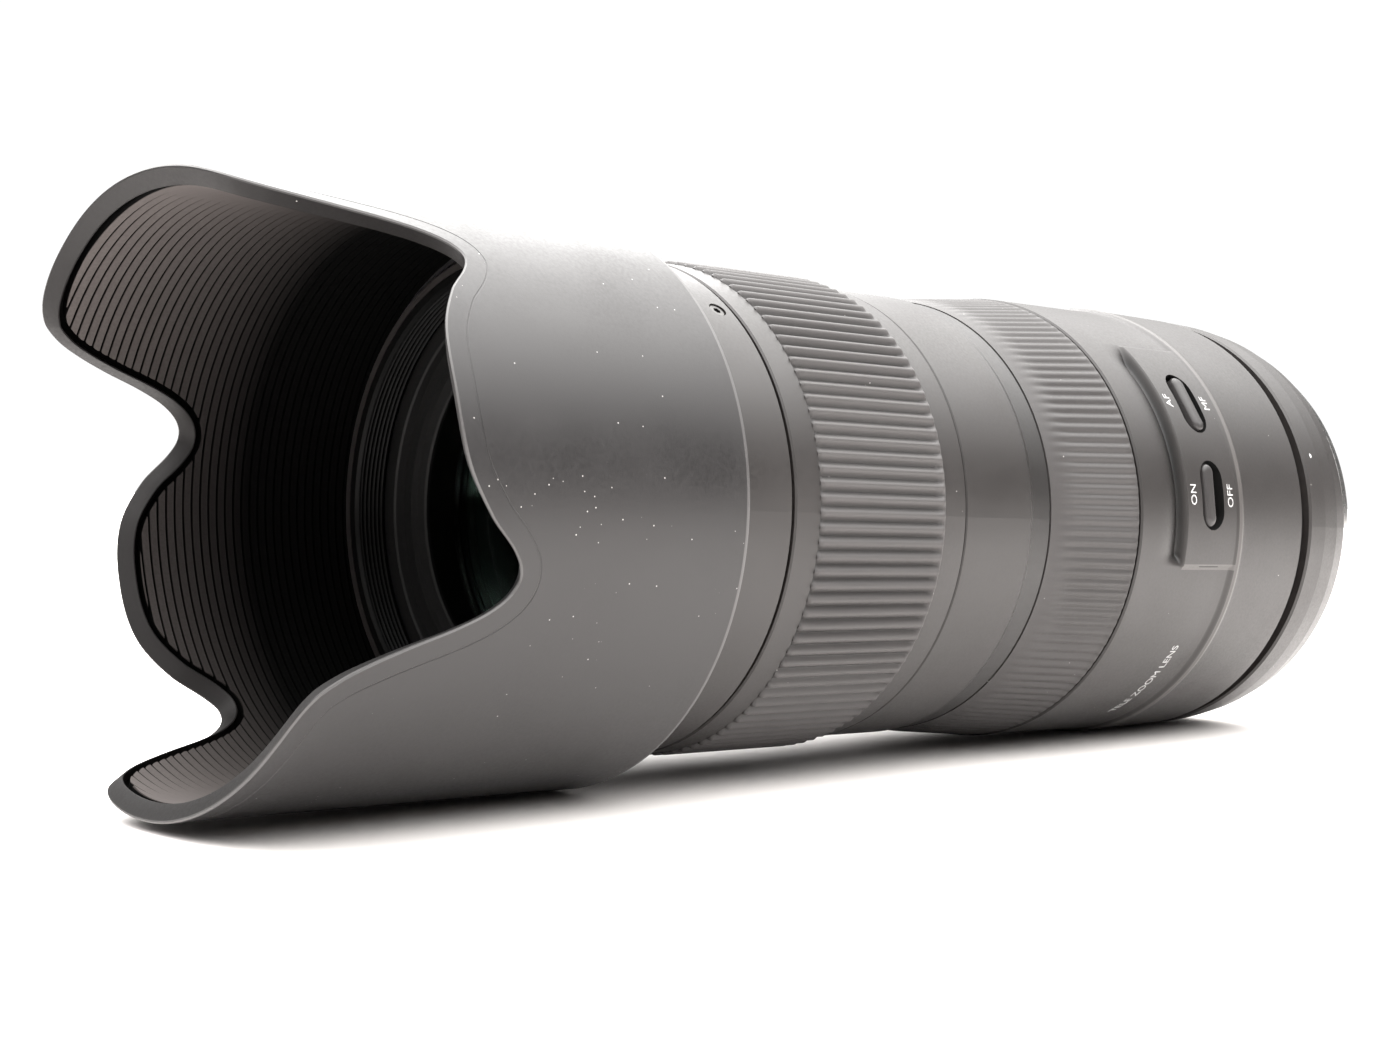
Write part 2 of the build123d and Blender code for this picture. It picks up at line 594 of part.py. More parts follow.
with BuildPart() as stabiliser_cell:
    ring(STABILISER_GLASS_R + SEAT, 16.0, FLOATING_START, FLOATING_START + 5)
    ring(15.0, 22.8, FLOATING_START, FLOATING_START + 1.6)
    ring(STABILISER_GLASS_R - 1, STABILISER_GLASS_R + SEAT, FLOATING_START, FLOATING_START + 0.6)
save(stabiliser_cell, "stabiliser_cell")

with BuildPart() as stabiliser_element:
    lens(STABILISER_GLASS_R, 30.9, 33.5, -0.9, 1.2)
save(stabiliser_element, "stabiliser_element")

# ---- iris: base plate, drive ring, blades and the stepper motor ----
IRIS_BASE_START, IRIS_BASE_END = 43.5, 45.0
IRIS_RING_START, IRIS_RING_END = 47.8, 49.0
BLADE_PITCH = 360 / BLADES
BLADE_MIDDLE, BLADE_ARC, BLADE_ROOT_WIDE = 42.0, 76.0, 3.4
MOTOR_R, MOTOR_START, MOTOR_END = 29.1, 32.0, 41.0

with BuildPart() as iris_base_plate:
    ring(IRIS_STOP_R, CELL_R, IRIS_BASE_START, IRIS_BASE_END)
    for index in range(BLADES):
        pin(index * BLADE_PITCH, PIVOT_R, 43, 46, IRIS_PIN_R + FIT, mode=Mode.SUBTRACT)
save(iris_base_plate, "iris_base_plate")


def drive_pin(blade_turn, pivot_angle):
    """Place of a blade's drive pin once the blade has turned about its pivot."""
    pivot = Vector(*polar(PIVOT_R, pivot_angle))
    arm = Vector(*polar(PIVOT_R, pivot_angle + DRIVE_PIN_STEP)) - pivot
    return pivot + arm.rotate(Axis.Z, blade_turn)


def ring_track(pivot_angle):
    """Centre line that the drive pin follows, seen from the turning drive ring."""
    points = []
    for fraction in (-0.06, 0.2, 0.4, 0.6, 0.8, 1.06):
        place = drive_pin(fraction * BLADE_TURN, pivot_angle)
        points.append(place.rotate(Axis.Z, -fraction * IRIS_RING_TURN))
    return points


with BuildPart() as iris_drive_ring:
    ring(IRIS_STOP_R + 0.7, 23.6, IRIS_RING_START, IRIS_RING_END)
    for index in range(BLADES):
        with BuildSketch(station(IRIS_RING_START - 1)) as track:
            with BuildLine() as centre_line:
                Spline(*ring_track(index * BLADE_PITCH))
            trace(centre_line.line, line_width=2 * (IRIS_PIN_R + FIT))
        extrude(track.sketch, amount=3, mode=Mode.SUBTRACT)
save(iris_drive_ring, "iris_drive_ring")

for index in range(BLADES):
    pivot_angle = index * BLADE_PITCH
    pin_angle = pivot_angle + DRIVE_PIN_STEP
    blade_start = BLADE_START + index * BLADE_STEP
    with BuildPart() as iris_blade:
        arc_block(
            BLADE_INNER_R,
            BLADE_OUTER_R,
            blade_start,
            blade_start + BLADE_THICK,
            pivot_angle + BLADE_MIDDLE,
            BLADE_ARC,
        )
        with BuildSketch(station(blade_start)) as root:
            with BuildLine() as spine:
                Line(polar(PIVOT_R, pivot_angle), polar(PIVOT_R, pin_angle))
            trace(spine.line, line_width=BLADE_ROOT_WIDE)
        extrude(root.sketch, amount=BLADE_THICK)
        pin(pivot_angle, PIVOT_R, IRIS_BASE_START + 0.3, blade_start + BLADE_THICK, IRIS_PIN_R)
        pin(pin_angle, PIVOT_R, blade_start, IRIS_RING_END - 0.2, IRIS_PIN_R)
    save(iris_blade, f"iris_blade_{index + 1}")

with BuildPart() as iris_motor:
    pin(UNDER, MOTOR_R, MOTOR_START, MOTOR_END, 1.9)
    pin(UNDER, MOTOR_R, MOTOR_END, MOTOR_END + 2, 0.5)
save(iris_motor, "iris_motor")

# ---- front: glass, cell, bezel, filter ring and barrel ----
FRONT_GLASS_R, CELL_OUTER_R = 28.5, 31.1
CELL_REAR, CELL_FLANGE_START, CELL_FRONT = 149.0, 158.1, 163.0

with BuildPart() as front_element:
    lens(FRONT_GLASS_R, 154.6, 158.0, -1.2, 5.6)
save(front_element, "front_element")

with BuildPart() as front_doublet:
    lens(FRONT_GLASS_R - 0.5, 150.5, 153.0, -3.0, -1.0)
save(front_doublet, "front_doublet")

with BuildPart() as front_cell:
    ring(FRONT_GLASS_R + SEAT, CELL_OUTER_R, CELL_REAR, CELL_FRONT)
    ring(CELL_OUTER_R - 0.5, 34.8, CELL_FLANGE_START, CELL_FRONT)
    ring(FRONT_GLASS_R - 1.5, FRONT_GLASS_R + SEAT, CELL_REAR, 150.2)
    ring(FRONT_GLASS_R - 0.45, FRONT_GLASS_R + SEAT, 150.2, 153.0)
    ring(FRONT_GLASS_R - 1.2, FRONT_GLASS_R + SEAT, 153.1, 154.5)
save(front_cell, "front_cell")

# Stepped rings round the front glass, down to the clear aperture.
with BuildPart() as front_bezel:
    turn(
        (28.2, CELL_FRONT + SEAT),
        (BEZEL_SEAT_R - SEAT, CELL_FRONT + SEAT),
        (BEZEL_SEAT_R - SEAT, THREAD_START - SEAT),
        (31.3, THREAD_START - SEAT),
        (31.0, 167.1),
        (30.6, 166.2),
        (28.4, 166.2),
        (28.0, 165.5),
        (26.4, 165.3),
        (26.1, 165.0),
        (26.1, 164.5),
    )
save(front_bezel, "front_bezel")

with BuildPart() as filter_ring:
    turn(
        (BEZEL_SEAT_R, CELL_FRONT + SEAT),
        (SHELL_INNER_R - 0.1 - SEAT, CELL_FRONT + SEAT),
        (SHELL_INNER_R - 0.1 - SEAT, FRONT_END - 0.1),
        (THREAD_R + 0.5, FRONT_END - 0.1),
        (THREAD_R, FRONT_END - 0.6),
        (THREAD_R, THREAD_START),
        (BEZEL_SEAT_R, THREAD_START),
    )
save(filter_ring, "filter_ring")

with BuildPart() as front_barrel:
    turn(
        (SHELL_INNER_R - 0.1, FRONT_BARREL_START),
        (FRONT_R - 0.25, FRONT_BARREL_START),
        (FRONT_R, FRONT_BARREL_START + 0.25),
        (FRONT_R, FRONT_END - 0.8),
        (FRONT_R - 0.8, FRONT_END),
        (SHELL_INNER_R - 0.1, FRONT_END),
    )
    for angle in HOOD_LUG_ANGLES:
        arc_block(
            FRONT_R - 0.5, HOOD_LUG_R, HOOD_LUG_START, HOOD_LUG_END, angle, HOOD_LUG_ARC
        )
    for angle in BARREL_SCREW_ANGLES:
        radial_pin(angle, SCREW_STATION, 35.9, 38, SCREW_HEAD_R + 0.2, mode=Mode.SUBTRACT)
        radial_pin(angle, SCREW_STATION, 34, 37, SCREW_THREAD_R + 0.05, mode=Mode.SUBTRACT)
save(front_barrel, "front_barrel")

with BuildPart() as front_barrel_screws:
    for angle in BARREL_SCREW_ANGLES:
        radial_pin(angle, SCREW_STATION, 32.5, 35.95, SCREW_THREAD_R)
        radial_pin(angle, SCREW_STATION, 35.92, 36.5, SCREW_HEAD_R)
        with BuildSketch(outward(angle, 36.2, SCREW_STATION)) as socket:
            RegularPolygon(0.62, 6)
        extrude(socket.sketch, amount=1, mode=Mode.SUBTRACT)
save(front_barrel_screws, "front_barrel_screws")

# ---- petal hood ----
# Rim of the hood seen from the side: height off the lens's horizontal mid-plane, and station.
SIDE_PETAL, VALLEY, LONG_PETAL = 209.6, 200.0, 227.6
BEYOND = HOOD_R + 1  # a height just outside the hood
rim = [
    (0, SIDE_PETAL),
    (8.5, SIDE_PETAL - 0.9),
    (14.5, SIDE_PETAL - 4.3),
    (20.6, VALLEY),
    (24.7, VALLEY + 3.4),
    (28.0, VALLEY + 13.5),
    (30.9, VALLEY + 22.0),
    (35.5, LONG_PETAL - 1.5),
    (BEYOND, LONG_PETAL),
]
mirrored_rim = [(-height, forward) for height, forward in reversed(rim[1:])]
side_view = Plane(origin=(0, 0, 0), x_dir=spoke(TOP), z_dir=(-spoke(SIDE).X, 0, -spoke(SIDE).Z))

with BuildPart() as lens_hood:
    turn(
        (HOOD_COLLAR_R, HOOD_START),
        (HOOD_R - 0.4, HOOD_START),
        (HOOD_R, HOOD_START + 0.4),
        (HOOD_R, LONG_PETAL),
        (HOOD_R - HOOD_WALL, LONG_PETAL),
        (HOOD_R - HOOD_WALL, HOOD_COLLAR_END),
        (HOOD_COLLAR_R, HOOD_COLLAR_END),
    )
    lug_track = (HOOD_LUG_START - GAP, HOOD_LUG_END + GAP)
    ring(HOOD_COLLAR_R - 1, HOOD_LUG_R + GAP, *lug_track, mode=Mode.SUBTRACT)
    for angle in HOOD_LUG_ANGLES:
        arc_block(
            HOOD_COLLAR_R - 1,
            HOOD_LUG_R + GAP / 2,
            HOOD_START - 1,
            HOOD_LUG_START,
            angle - HOOD_TURN,
            HOOD_LUG_ARC + 4,
            mode=Mode.SUBTRACT,
        )
    with BuildSketch(side_view) as behind_rim:
        with BuildLine():
            Spline(*[(height, -forward) for height, forward in mirrored_rim + rim])
            Polyline((BEYOND, -LONG_PETAL), (BEYOND, -150), (-BEYOND, -150), (-BEYOND, -LONG_PETAL))
        make_face()
    extrude(behind_rim.sketch, amount=60, both=True, mode=Mode.INTERSECT)
save(lens_hood, "lens_hood")
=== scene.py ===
import json
import math

import bmesh
import bpy
from mathutils import Matrix, Vector


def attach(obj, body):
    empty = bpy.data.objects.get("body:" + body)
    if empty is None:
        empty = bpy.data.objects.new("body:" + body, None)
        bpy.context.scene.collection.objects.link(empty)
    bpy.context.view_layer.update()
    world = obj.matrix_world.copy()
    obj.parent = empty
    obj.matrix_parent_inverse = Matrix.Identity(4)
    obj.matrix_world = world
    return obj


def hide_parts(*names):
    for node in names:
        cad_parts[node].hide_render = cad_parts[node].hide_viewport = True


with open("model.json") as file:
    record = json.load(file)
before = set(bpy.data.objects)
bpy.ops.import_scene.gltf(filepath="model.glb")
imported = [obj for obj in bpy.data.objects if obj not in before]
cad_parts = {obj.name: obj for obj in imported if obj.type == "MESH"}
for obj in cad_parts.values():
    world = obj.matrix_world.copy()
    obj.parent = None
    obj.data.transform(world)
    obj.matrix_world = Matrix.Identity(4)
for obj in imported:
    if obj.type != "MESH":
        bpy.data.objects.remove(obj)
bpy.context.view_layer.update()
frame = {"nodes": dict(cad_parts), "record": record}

# Telephoto zoom lens with a petal hood. The optical axis is the Y axis and the front faces -Y.
# A station is a distance forward of the mounting flange in millimetres, and an angle turns about
# the axis from +X (0) towards +Z (90).

MM = 0.001
SIDE = 18.5  # angle of the middle of the switch side: the lens lies rolled by this much
TOP = SIDE + 90


def place(radius, angle, forward):
    """Point at a radius, an angle and a station."""
    turn = math.radians(angle)
    return Vector((radius * math.cos(turn) * MM, -forward * MM, radius * math.sin(turn) * MM))


def smooth(low, high, value):
    """Soft step from 0 at low to 1 at high."""
    share = min(max((value - low) / (high - low), 0.0), 1.0)
    return share * share * (3 - 2 * share)


def between(first, last, share):
    """Value a share of the way from first to last."""
    return first + (last - first) * share


# ---------------------------------------------------------------- materials
BLACK = (0, 0, 0, 1)
DUST_COLOUR = (0.36, 0.35, 0.34, 1.0)
DUST_SPACING_MM = 1.2
DUST_CLUMP_MM = 22.0
RUBBED_LIGHTER = 3.2
GLASS_IOR = 1.52


class Nodes:
    """Small helper that builds one material's node tree."""

    def __init__(self, name):
        self.material = bpy.data.materials.new(name)
        self.material.use_nodes = True
        self.tree = self.material.node_tree
        self.shader = self.tree.nodes["Principled BSDF"]
        self.place = self.tree.nodes.new("ShaderNodeTexCoord").outputs["Object"]

    def link(self, output, target):
        self.tree.links.new(output, target)

    def node(self, kind, inputs=(), **settings):
        made = self.tree.nodes.new(kind)
        for key, value in settings.items():
            setattr(made, key, value)
        for key, value in dict(inputs).items():
            if isinstance(value, bpy.types.NodeSocket):
                self.link(value, made.inputs[key])
            else:
                made.inputs[key].default_value = value
        return made

    def noise(self, size_mm, detail=2.0, roughness=0.5, stretch=None):
        vector = self.scaled(stretch) if stretch else self.place
        inputs = {"Vector": vector, "Scale": 1 / (size_mm * MM), "Detail": detail, "Roughness": roughness}
        return self.node("ShaderNodeTexNoise", inputs).outputs["Fac"]

    def scaled(self, factors):
        """Object coordinates times one factor an axis."""
        return self.node("ShaderNodeVectorMath", {0: self.place, 1: factors}, operation="MULTIPLY").outputs[0]

    def radius(self):
        """Distance from the optical axis, in metres."""
        flat = self.scaled((1, 0, 1))
        return self.node("ShaderNodeVectorMath", {0: flat}, operation="LENGTH").outputs["Value"]

    def along(self):
        """Y, the position along the optical axis, in metres."""
        return self.node("ShaderNodeSeparateXYZ", {0: self.place}).outputs["Y"]

    def ramp(self, value, low, high, to_low=0.0, to_high=1.0):
        inputs = {"Value": value, "From Min": low, "From Max": high, "To Min": to_low, "To Max": to_high}
        return self.node("ShaderNodeMapRange", inputs).outputs["Result"]

    def calc(self, operation, first, second):
        return self.node("ShaderNodeMath", {0: first, 1: second}, operation=operation).outputs[0]

    def mix(self, share, first, second):
        made = self.node("ShaderNodeMix", data_type="RGBA")
        for key, value in (("Factor", share), ("A", first), ("B", second)):
            if isinstance(value, bpy.types.NodeSocket):
                self.link(value, made.inputs[key])
            else:
                made.inputs[key].default_value = value
        return made.outputs["Result"]

    def bump(self, height, distance_mm):
        inputs = {"Height": height, "Distance": distance_mm * MM, "Strength": 1.0}
        return self.node("ShaderNodeBump", inputs).outputs["Normal"]

    def set(self, values):
        """Constants on the shader's own sockets."""
        for key, value in values.items():
            self.shader.inputs[key].default_value = value

    def wire(self, outputs):
        """Links into the shader's sockets."""
        for key, output in outputs.items():
            self.link(output, self.shader.inputs[key])


def shade(colour, factor):
    """The colour made lighter or darker, with its alpha."""
    return tuple(min(part * factor, 1.0) for part in colour[:3]) + (1.0,)


def surface(
    name, colour, roughness, vary=0.12, grain_mm=0.25, grain_depth=0.01, metallic=0.0, specular=0.5,
    dust=0.0, wear=0.0, brushed=None, patches_mm=14.0, painted_shade_along=None, painted_shade_inward=None,
):
    """Solid finish with uneven colour and gloss, fine grain, rubbed edges and a little dust.

    brushed stretches the grain, one factor an axis. Two settings paint shade into the colour: one darkens
    along the axis: (Y where it starts, Y where it is full, strength); the other does the same with radii,
    darker further in. Both are in metres.
    """
    n = Nodes(name)
    n.set({"Metallic": metallic, "Specular IOR Level": specular})
    patches = n.noise(patches_mm, 3.0)
    fine = n.noise(grain_mm * 3, 3.0, 0.6, brushed)
    grain = n.noise(grain_mm, 2.0, 0.5, brushed)
    body = n.mix(n.ramp(patches, 0.3, 0.7), shade(colour, 1 - vary), shade(colour, 1 + vary))
    body = n.mix(n.ramp(fine, 0.35, 0.65), body, n.mix(0.5, body, shade(colour, 1 + 2 * vary)))
    if wear:
        edge = n.node("ShaderNodeNewGeometry").outputs["Pointiness"]
        rubbed = n.calc("MULTIPLY", n.ramp(edge, 0.52, 0.6), n.ramp(fine, 0.4, 0.7, 0.2, 1.0))
        body = n.mix(n.calc("MULTIPLY", rubbed, wear), body, shade(colour, RUBBED_LIGHTER))
    # painted shade: darker along the axis
    if painted_shade_along:
        body = n.mix(n.ramp(n.along(), painted_shade_along[0], painted_shade_along[1], 0.0, painted_shade_along[2]), body, BLACK)
    # painted shade: darker towards the axis, in recesses
    if painted_shade_inward:
        body = n.mix(n.ramp(n.radius(), painted_shade_inward[0], painted_shade_inward[1], 0.0, painted_shade_inward[2]), body, BLACK)
    if dust:
        inputs = {"Vector": n.place, "Scale": 1 / (DUST_SPACING_MM * MM), "Randomness": 1.0}
        cells = n.node("ShaderNodeTexVoronoi", inputs)
        near = n.ramp(cells.outputs["Distance"], 0.1, 0.06)
        rare = n.node("ShaderNodeSeparateColor", {0: cells.outputs["Color"]}).outputs["Red"]
        clumps = n.ramp(n.noise(DUST_CLUMP_MM, 2.0), 0.42, 0.66, 0.0, dust)
        speck = n.calc("MULTIPLY", near, n.calc("LESS_THAN", rare, clumps))
        body = n.mix(speck, body, DUST_COLOUR)
    fine_gloss = n.ramp(fine, 0.3, 0.7, -0.05, 0.05)
    broad_gloss = n.ramp(patches, 0.3, 0.7, roughness - 0.04, roughness + 0.04)
    gloss = n.calc("ADD", fine_gloss, broad_gloss)
    n.wire({"Base Color": body, "Roughness": gloss, "Normal": n.bump(grain, grain_depth)})
    return n.material


def glass(name, colour, reflection, gloss, smudge=0.04):
    """Coated glass: clear, with a tinted reflection and a few faint smudges."""
    n = Nodes(name)
    n.set({"IOR": GLASS_IOR, "Metallic": 0.0, "Transmission Weight": 1.0})
    n.set({"Specular Tint": reflection, "Specular IOR Level": gloss})
    smear = n.noise(9.0, 4.0, 0.65)
    body = n.mix(n.ramp(smear, 0.35, 0.65), shade(colour, 0.94), colour)
    n.wire({"Base Color": body, "Roughness": n.ramp(smear, 0.5, 0.8, 0.01, 0.01 + smudge)})
    return n.material


paint = {
    "colour": (0.0142, 0.0124, 0.0118), "roughness": 0.42, "vary": 0.09, "specular": 0.42, "grain_mm": 0.16,
    "grain_depth": 0.006, "dust": 0.05,
}
rubber = {
    "roughness": 0.54, "vary": 0.1, "grain_mm": 0.14, "grain_depth": 0.02, "dust": 0.12, "specular": 0.42,
}
finishes = {
    "black_barrel": surface("barrel_paint", wear=0.1, **paint),
    "black_plastic": surface(
        "moulded_black", (0.004, 0.004, 0.004), 0.55, specular=0.2, grain_mm=0.2, grain_depth=0.006,
    ),
    "hood_plastic": surface(
        "hood_satin", (0.0118, 0.0109, 0.0111), 0.4, vary=0.09, specular=0.42, grain_mm=0.18,
        grain_depth=0.006, dust=0.3,
    ),
    "grip_rubber": surface("grip_rubber_skin", (0.0265, 0.0243, 0.024), **rubber),
    "silver_trim": surface(
        "silver_turned", (0.5, 0.495, 0.49), 0.24, vary=0.03, grain_mm=0.12, grain_depth=0.002, metallic=1.0,
        brushed=(1, 12, 1),
    ),
    "mount_metal": surface(
        "mount_plated", (0.27, 0.265, 0.255), 0.3, vary=0.05, grain_mm=0.15, grain_depth=0.003, metallic=1.0,
        wear=0.15, brushed=(1, 8, 1),
    ),
    "gold_contact": surface(
        "contact_gold", (0.42, 0.3, 0.11), 0.24, vary=0.05, grain_depth=0.002, metallic=1.0,
    ),
    "steel_screw": surface(
        "screw_blackened", (0.035, 0.034, 0.033), 0.34, vary=0.1, grain_mm=0.1, grain_depth=0.003,
        metallic=0.8, wear=0.6,
    ),
    "inner_aluminium": surface(
        "inner_anodised", (0.0018, 0.0018, 0.0018), 0.42, specular=0.1, vary=0.1, grain_mm=0.2,
        grain_depth=0.004, brushed=(1, 10, 1),
    ),
    "cam_aluminium": surface(
        "cam_machined", (0.26, 0.26, 0.265), 0.32, vary=0.05, grain_mm=0.2, grain_depth=0.004, metallic=1.0,
        brushed=(1, 10, 1),
    ),
    "roller_brass": surface(
        "roller_turned", (0.36, 0.26, 0.12), 0.28, vary=0.05, grain_depth=0.003, metallic=1.0,
    ),
    "switch_plastic": surface(
        "switch_satin", (0.024, 0.0225, 0.0225), 0.4, specular=0.3, vary=0.05, grain_mm=0.1,
        grain_depth=0.004, wear=0.3,
    ),
    "circuit": surface("solder_mask", (0.012, 0.09, 0.045), 0.35, vary=0.2, grain_mm=0.6),
    "blade_steel": surface(
        "blade_matte", (0.02, 0.02, 0.021), 0.5, vary=0.1, grain_depth=0.003, metallic=0.5,
    ),
    "magnet": surface(
        "magnet_nickel", (0.3, 0.295, 0.285), 0.25, vary=0.05, grain_depth=0.003, metallic=1.0,
    ),
    "drum_paint": surface("drum_matte", (0.004, 0.004, 0.004), 0.6, grain_mm=0.15, grain_depth=0.004),
    "optical_glass": glass("coated_glass", (0.7, 0.75, 0.73, 1), (0.09, 0.14, 0.12, 1), 0.01),
    "window_plastic": glass(
        "window_clear", (0.97, 0.97, 0.97, 1), (0.04, 0.04, 0.04, 1), 0.02, smudge=0.004,
    ),
}
white_print = surface("white_print", (0.4, 0.4, 0.4), 0.5, vary=0.05, grain_mm=0.1, grain_depth=0.003)


def inside_with_painted_shade():
    """Matte inside of the hood with painted shade: lighter near the rim, black deep inside and in the
    grooves.
    """
    light_end, dark_end = -0.227, -0.189
    groove_start, groove_full = 0.03874, 0.03886
    n = Nodes("hood_inside_matte_painted_shade")
    n.set({"Specular IOR Level": 0.05})
    fine = n.noise(0.4, 3.0, 0.6)
    patches = n.noise(12.0, 3.0)
    body = n.mix(n.ramp(fine, 0.3, 0.7), (0.068, 0.0595, 0.057, 1), (0.086, 0.077, 0.074, 1))
    body = n.mix(n.ramp(patches, 0.3, 0.7, 0.0, 0.2), body, (0.052, 0.048, 0.047, 1))
    # painted shade: darker deeper inside the hood
    body = n.mix(n.ramp(n.along(), light_end, dark_end), body, (0.001, 0.001, 0.001, 1))
    # painted shade: black in the grooves between the fine rings
    body = n.mix(n.ramp(n.radius(), groove_start, groove_full), body, (0.0003, 0.0003, 0.0003, 1))
    gloss = n.ramp(fine, 0.3, 0.7, 0.62, 0.76)
    n.wire({"Base Color": body, "Roughness": gloss, "Normal": n.bump(n.noise(0.15), 0.008)})
    return n.material


hood_inside = inside_with_painted_shade()
hood_lip = surface(
    "hood_lip_matte", (0.0068, 0.0061, 0.0061), 0.58, specular=0.2, grain_mm=0.16, dust=0.1,
)
# painted highlight: a lighter colour on the chamfers at the hood's rear edge and rim
hood_edge_highlight = surface("hood_edge_painted_highlight", (0.05, 0.048, 0.048), 0.4, vary=0.1, grain_mm=0.14)
# painted highlight: a lighter colour on the housing's ridge and the switch panel's lower edge
bevel_edge_highlight = surface("bevel_edge_painted_highlight", (0.052, 0.048, 0.046), 0.4, vary=0.08, specular=0.4, grain_mm=0.14)
# painted shade: darker in the valleys between the zoom grip's ribs and where the ribs drop at their ends
zoom_rubber = surface("zoom_rubber_painted_valley_shade", (0.042, 0.039, 0.0385), painted_shade_inward=(0.037, 0.0365, 0.55), **rubber)
# painted shade: the recessed band at the rear of the middle barrel is darker
band_paint_painted_shade = surface("band_paint_painted_shade", painted_shade_along=(-0.0972, -0.0944, 0.5), **paint)
# painted shade: darker with depth in the scoop before the switch panel and in the rear groove
housing_paint_painted_shade = surface("housing_paint_painted_shade", painted_shade_inward=(0.03782, 0.0368, 0.8), **paint)

slot_of = {part["node"]: part["material_slot"] for part in frame["record"]["subparts"]}
for name, node in frame["nodes"].items():
    for holder in node.material_slots:
        holder.material = band_paint_painted_shade if name == "middle_barrel" else finishes[slot_of[name]]

# ---------------------------------------------------------------- mesh helpers
MERGE_WITHIN = 2e-6


def add(name, mesh, body, slot, material=None, also=(), crease=30.0):
    """Show a mesh as a piece that rides on a body and takes a slot's finish."""
    made = bpy.data.objects.new(name, mesh)
    bpy.context.scene.collection.objects.link(made)
    mesh.materials.append(material or finishes[slot])
    for extra in also:
        mesh.materials.append(extra)
    mesh.shade_smooth()
    mesh.set_sharp_from_angle(angle=math.radians(crease))
    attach(made, body)
    return made


def settle(work, mesh):
    """Turn every face outwards and write the work into the mesh."""
    bmesh.ops.recalc_face_normals(work, faces=work.faces)
    work.to_mesh(mesh)
    work.free()
    return mesh


def clean(mesh):
    """Merge points that coincide, drop faces with no area and turn every face outwards."""
    work = bmesh.new()
    work.from_mesh(mesh)
    bmesh.ops.remove_doubles(work, verts=work.verts, dist=MERGE_WITHIN)
    bmesh.ops.dissolve_degenerate(work, edges=work.edges, dist=MERGE_WITHIN / 2)
    return settle(work, mesh)


def stacked(name, layers):
    """Closed mesh through equal rings of points, with the first and last ring filled."""
    work = bmesh.new()
    rings = [[work.verts.new(point) for point in layer] for layer in layers]
    for low, high in zip(rings, rings[1:]):
        for index in range(len(low)):
            after = (index + 1) % len(low)
            work.faces.new((low[index], low[after], high[after], high[index]))
    work.faces.new(rings[0])
    work.faces.new(rings[-1])
    return settle(work, bpy.data.meshes.new(name))


def capsule(length, width, corners):
    """Outline of a slot shape: points round its two half-circle ends, with its length on the first axis."""
    straight = (length - width) / 2
    outline = []
    for end, start in ((1, -90), (-1, 90)):
        for step in range(corners + 1):
            turn = math.radians(start + 180 * step / corners)
            outline.append((end * straight + width / 2 * math.cos(turn), width / 2 * math.sin(turn)))
    return outline


def skin(name, loops, bands=()):
    """Closed mesh through equal loops of points, one loop per angle, all round the axis.

    Each band is (first row, row after its last, material index).
    """
    points = [point for loop in loops for point in loop]
    across, count = len(loops[0]), len(loops)
    faces = []
    kinds = []
    for i in range(count):
        here, there = i * across, (i + 1) % count * across
        for j in range(across):
            k = (j + 1) % across
            faces.append((here + j, here + k, there + k, there + j))
            kinds.append(next((kind for first, last, kind in bands if first <= j < last), 0))
    mesh = bpy.data.meshes.new(name)
    mesh.from_pydata(points, [], faces)
    for face, kind in zip(mesh.polygons, kinds):
        face.material_index = kind
    return clean(mesh)


# ---------------------------------------------------------------- petal hood
HOOD_R, COLLAR_R, COLLAR_ENTRY_R = 41.0, 37.0, 38.05
HOOD_START, COLLAR_END = 162.1, 170.5
CATCH_R, CATCH_START, CATCH_END = 38.2, 165.2, 168.3
LUG_ANGLES = (TOP + 60, TOP + 180, TOP + 300)
HOOD_TURN, LUG_ENTRY_HALF = 65.0, 14.0
RING_PITCH = 1.4
RIM_LINE_CUT = 0.045
LIP_BACK_R, LIP_BACK, RINGS_GAP = 39.95, 2.55, 0.05
COLLAR_FACE_R, COLLAR_CHAMFER = 38.4, 0.3
INSIDE_KIND, LIP_KIND, HIGHLIGHT_EDGE_KIND = 1, 2, 3
ring_outline = ((0.0, 38.5), (0.64, 38.72), (0.82, 39.75), (1.0, 38.5))  # share of a pitch, and radius

# Each point is a radius and a distance: from the hood's rear face first, then back from the rim.
rear_outline = ((40.4, 0.0), (40.72, 0.06), (40.92, 0.22), (HOOD_R, 0.5), (HOOD_R, 0.8))
line_outline = ((HOOD_R, 3.1), (HOOD_R - RIM_LINE_CUT, 3.05), (HOOD_R - RIM_LINE_CUT, 2.9), (HOOD_R, 2.84))
edge_outline = ((HOOD_R, 1.4), (HOOD_R, 0.2), (HOOD_R - 0.2, 0.0))
lip_outline = (
    (HOOD_R - 0.4, 0.0), (39.7, 0.62), (38.8, 1.25), (38.62, 1.42), (38.62, 1.6), (LIP_BACK_R, 1.68),
)

# Rim station against the angle from the side petal's middle to the long petal's middle.
rim_knots = (
    (0, 209.6), (12, 208.7), (20.7, 205.3), (26.5, 201.4), (30.2, 200.0), (33.7, 200.8), (37, 203.6),
    (40, 208.0), (43, 213.5), (46, 218.3), (49, 222.0), (53, 224.9), (60, 226.5), (75, 227.3), (90, 227.6),
)


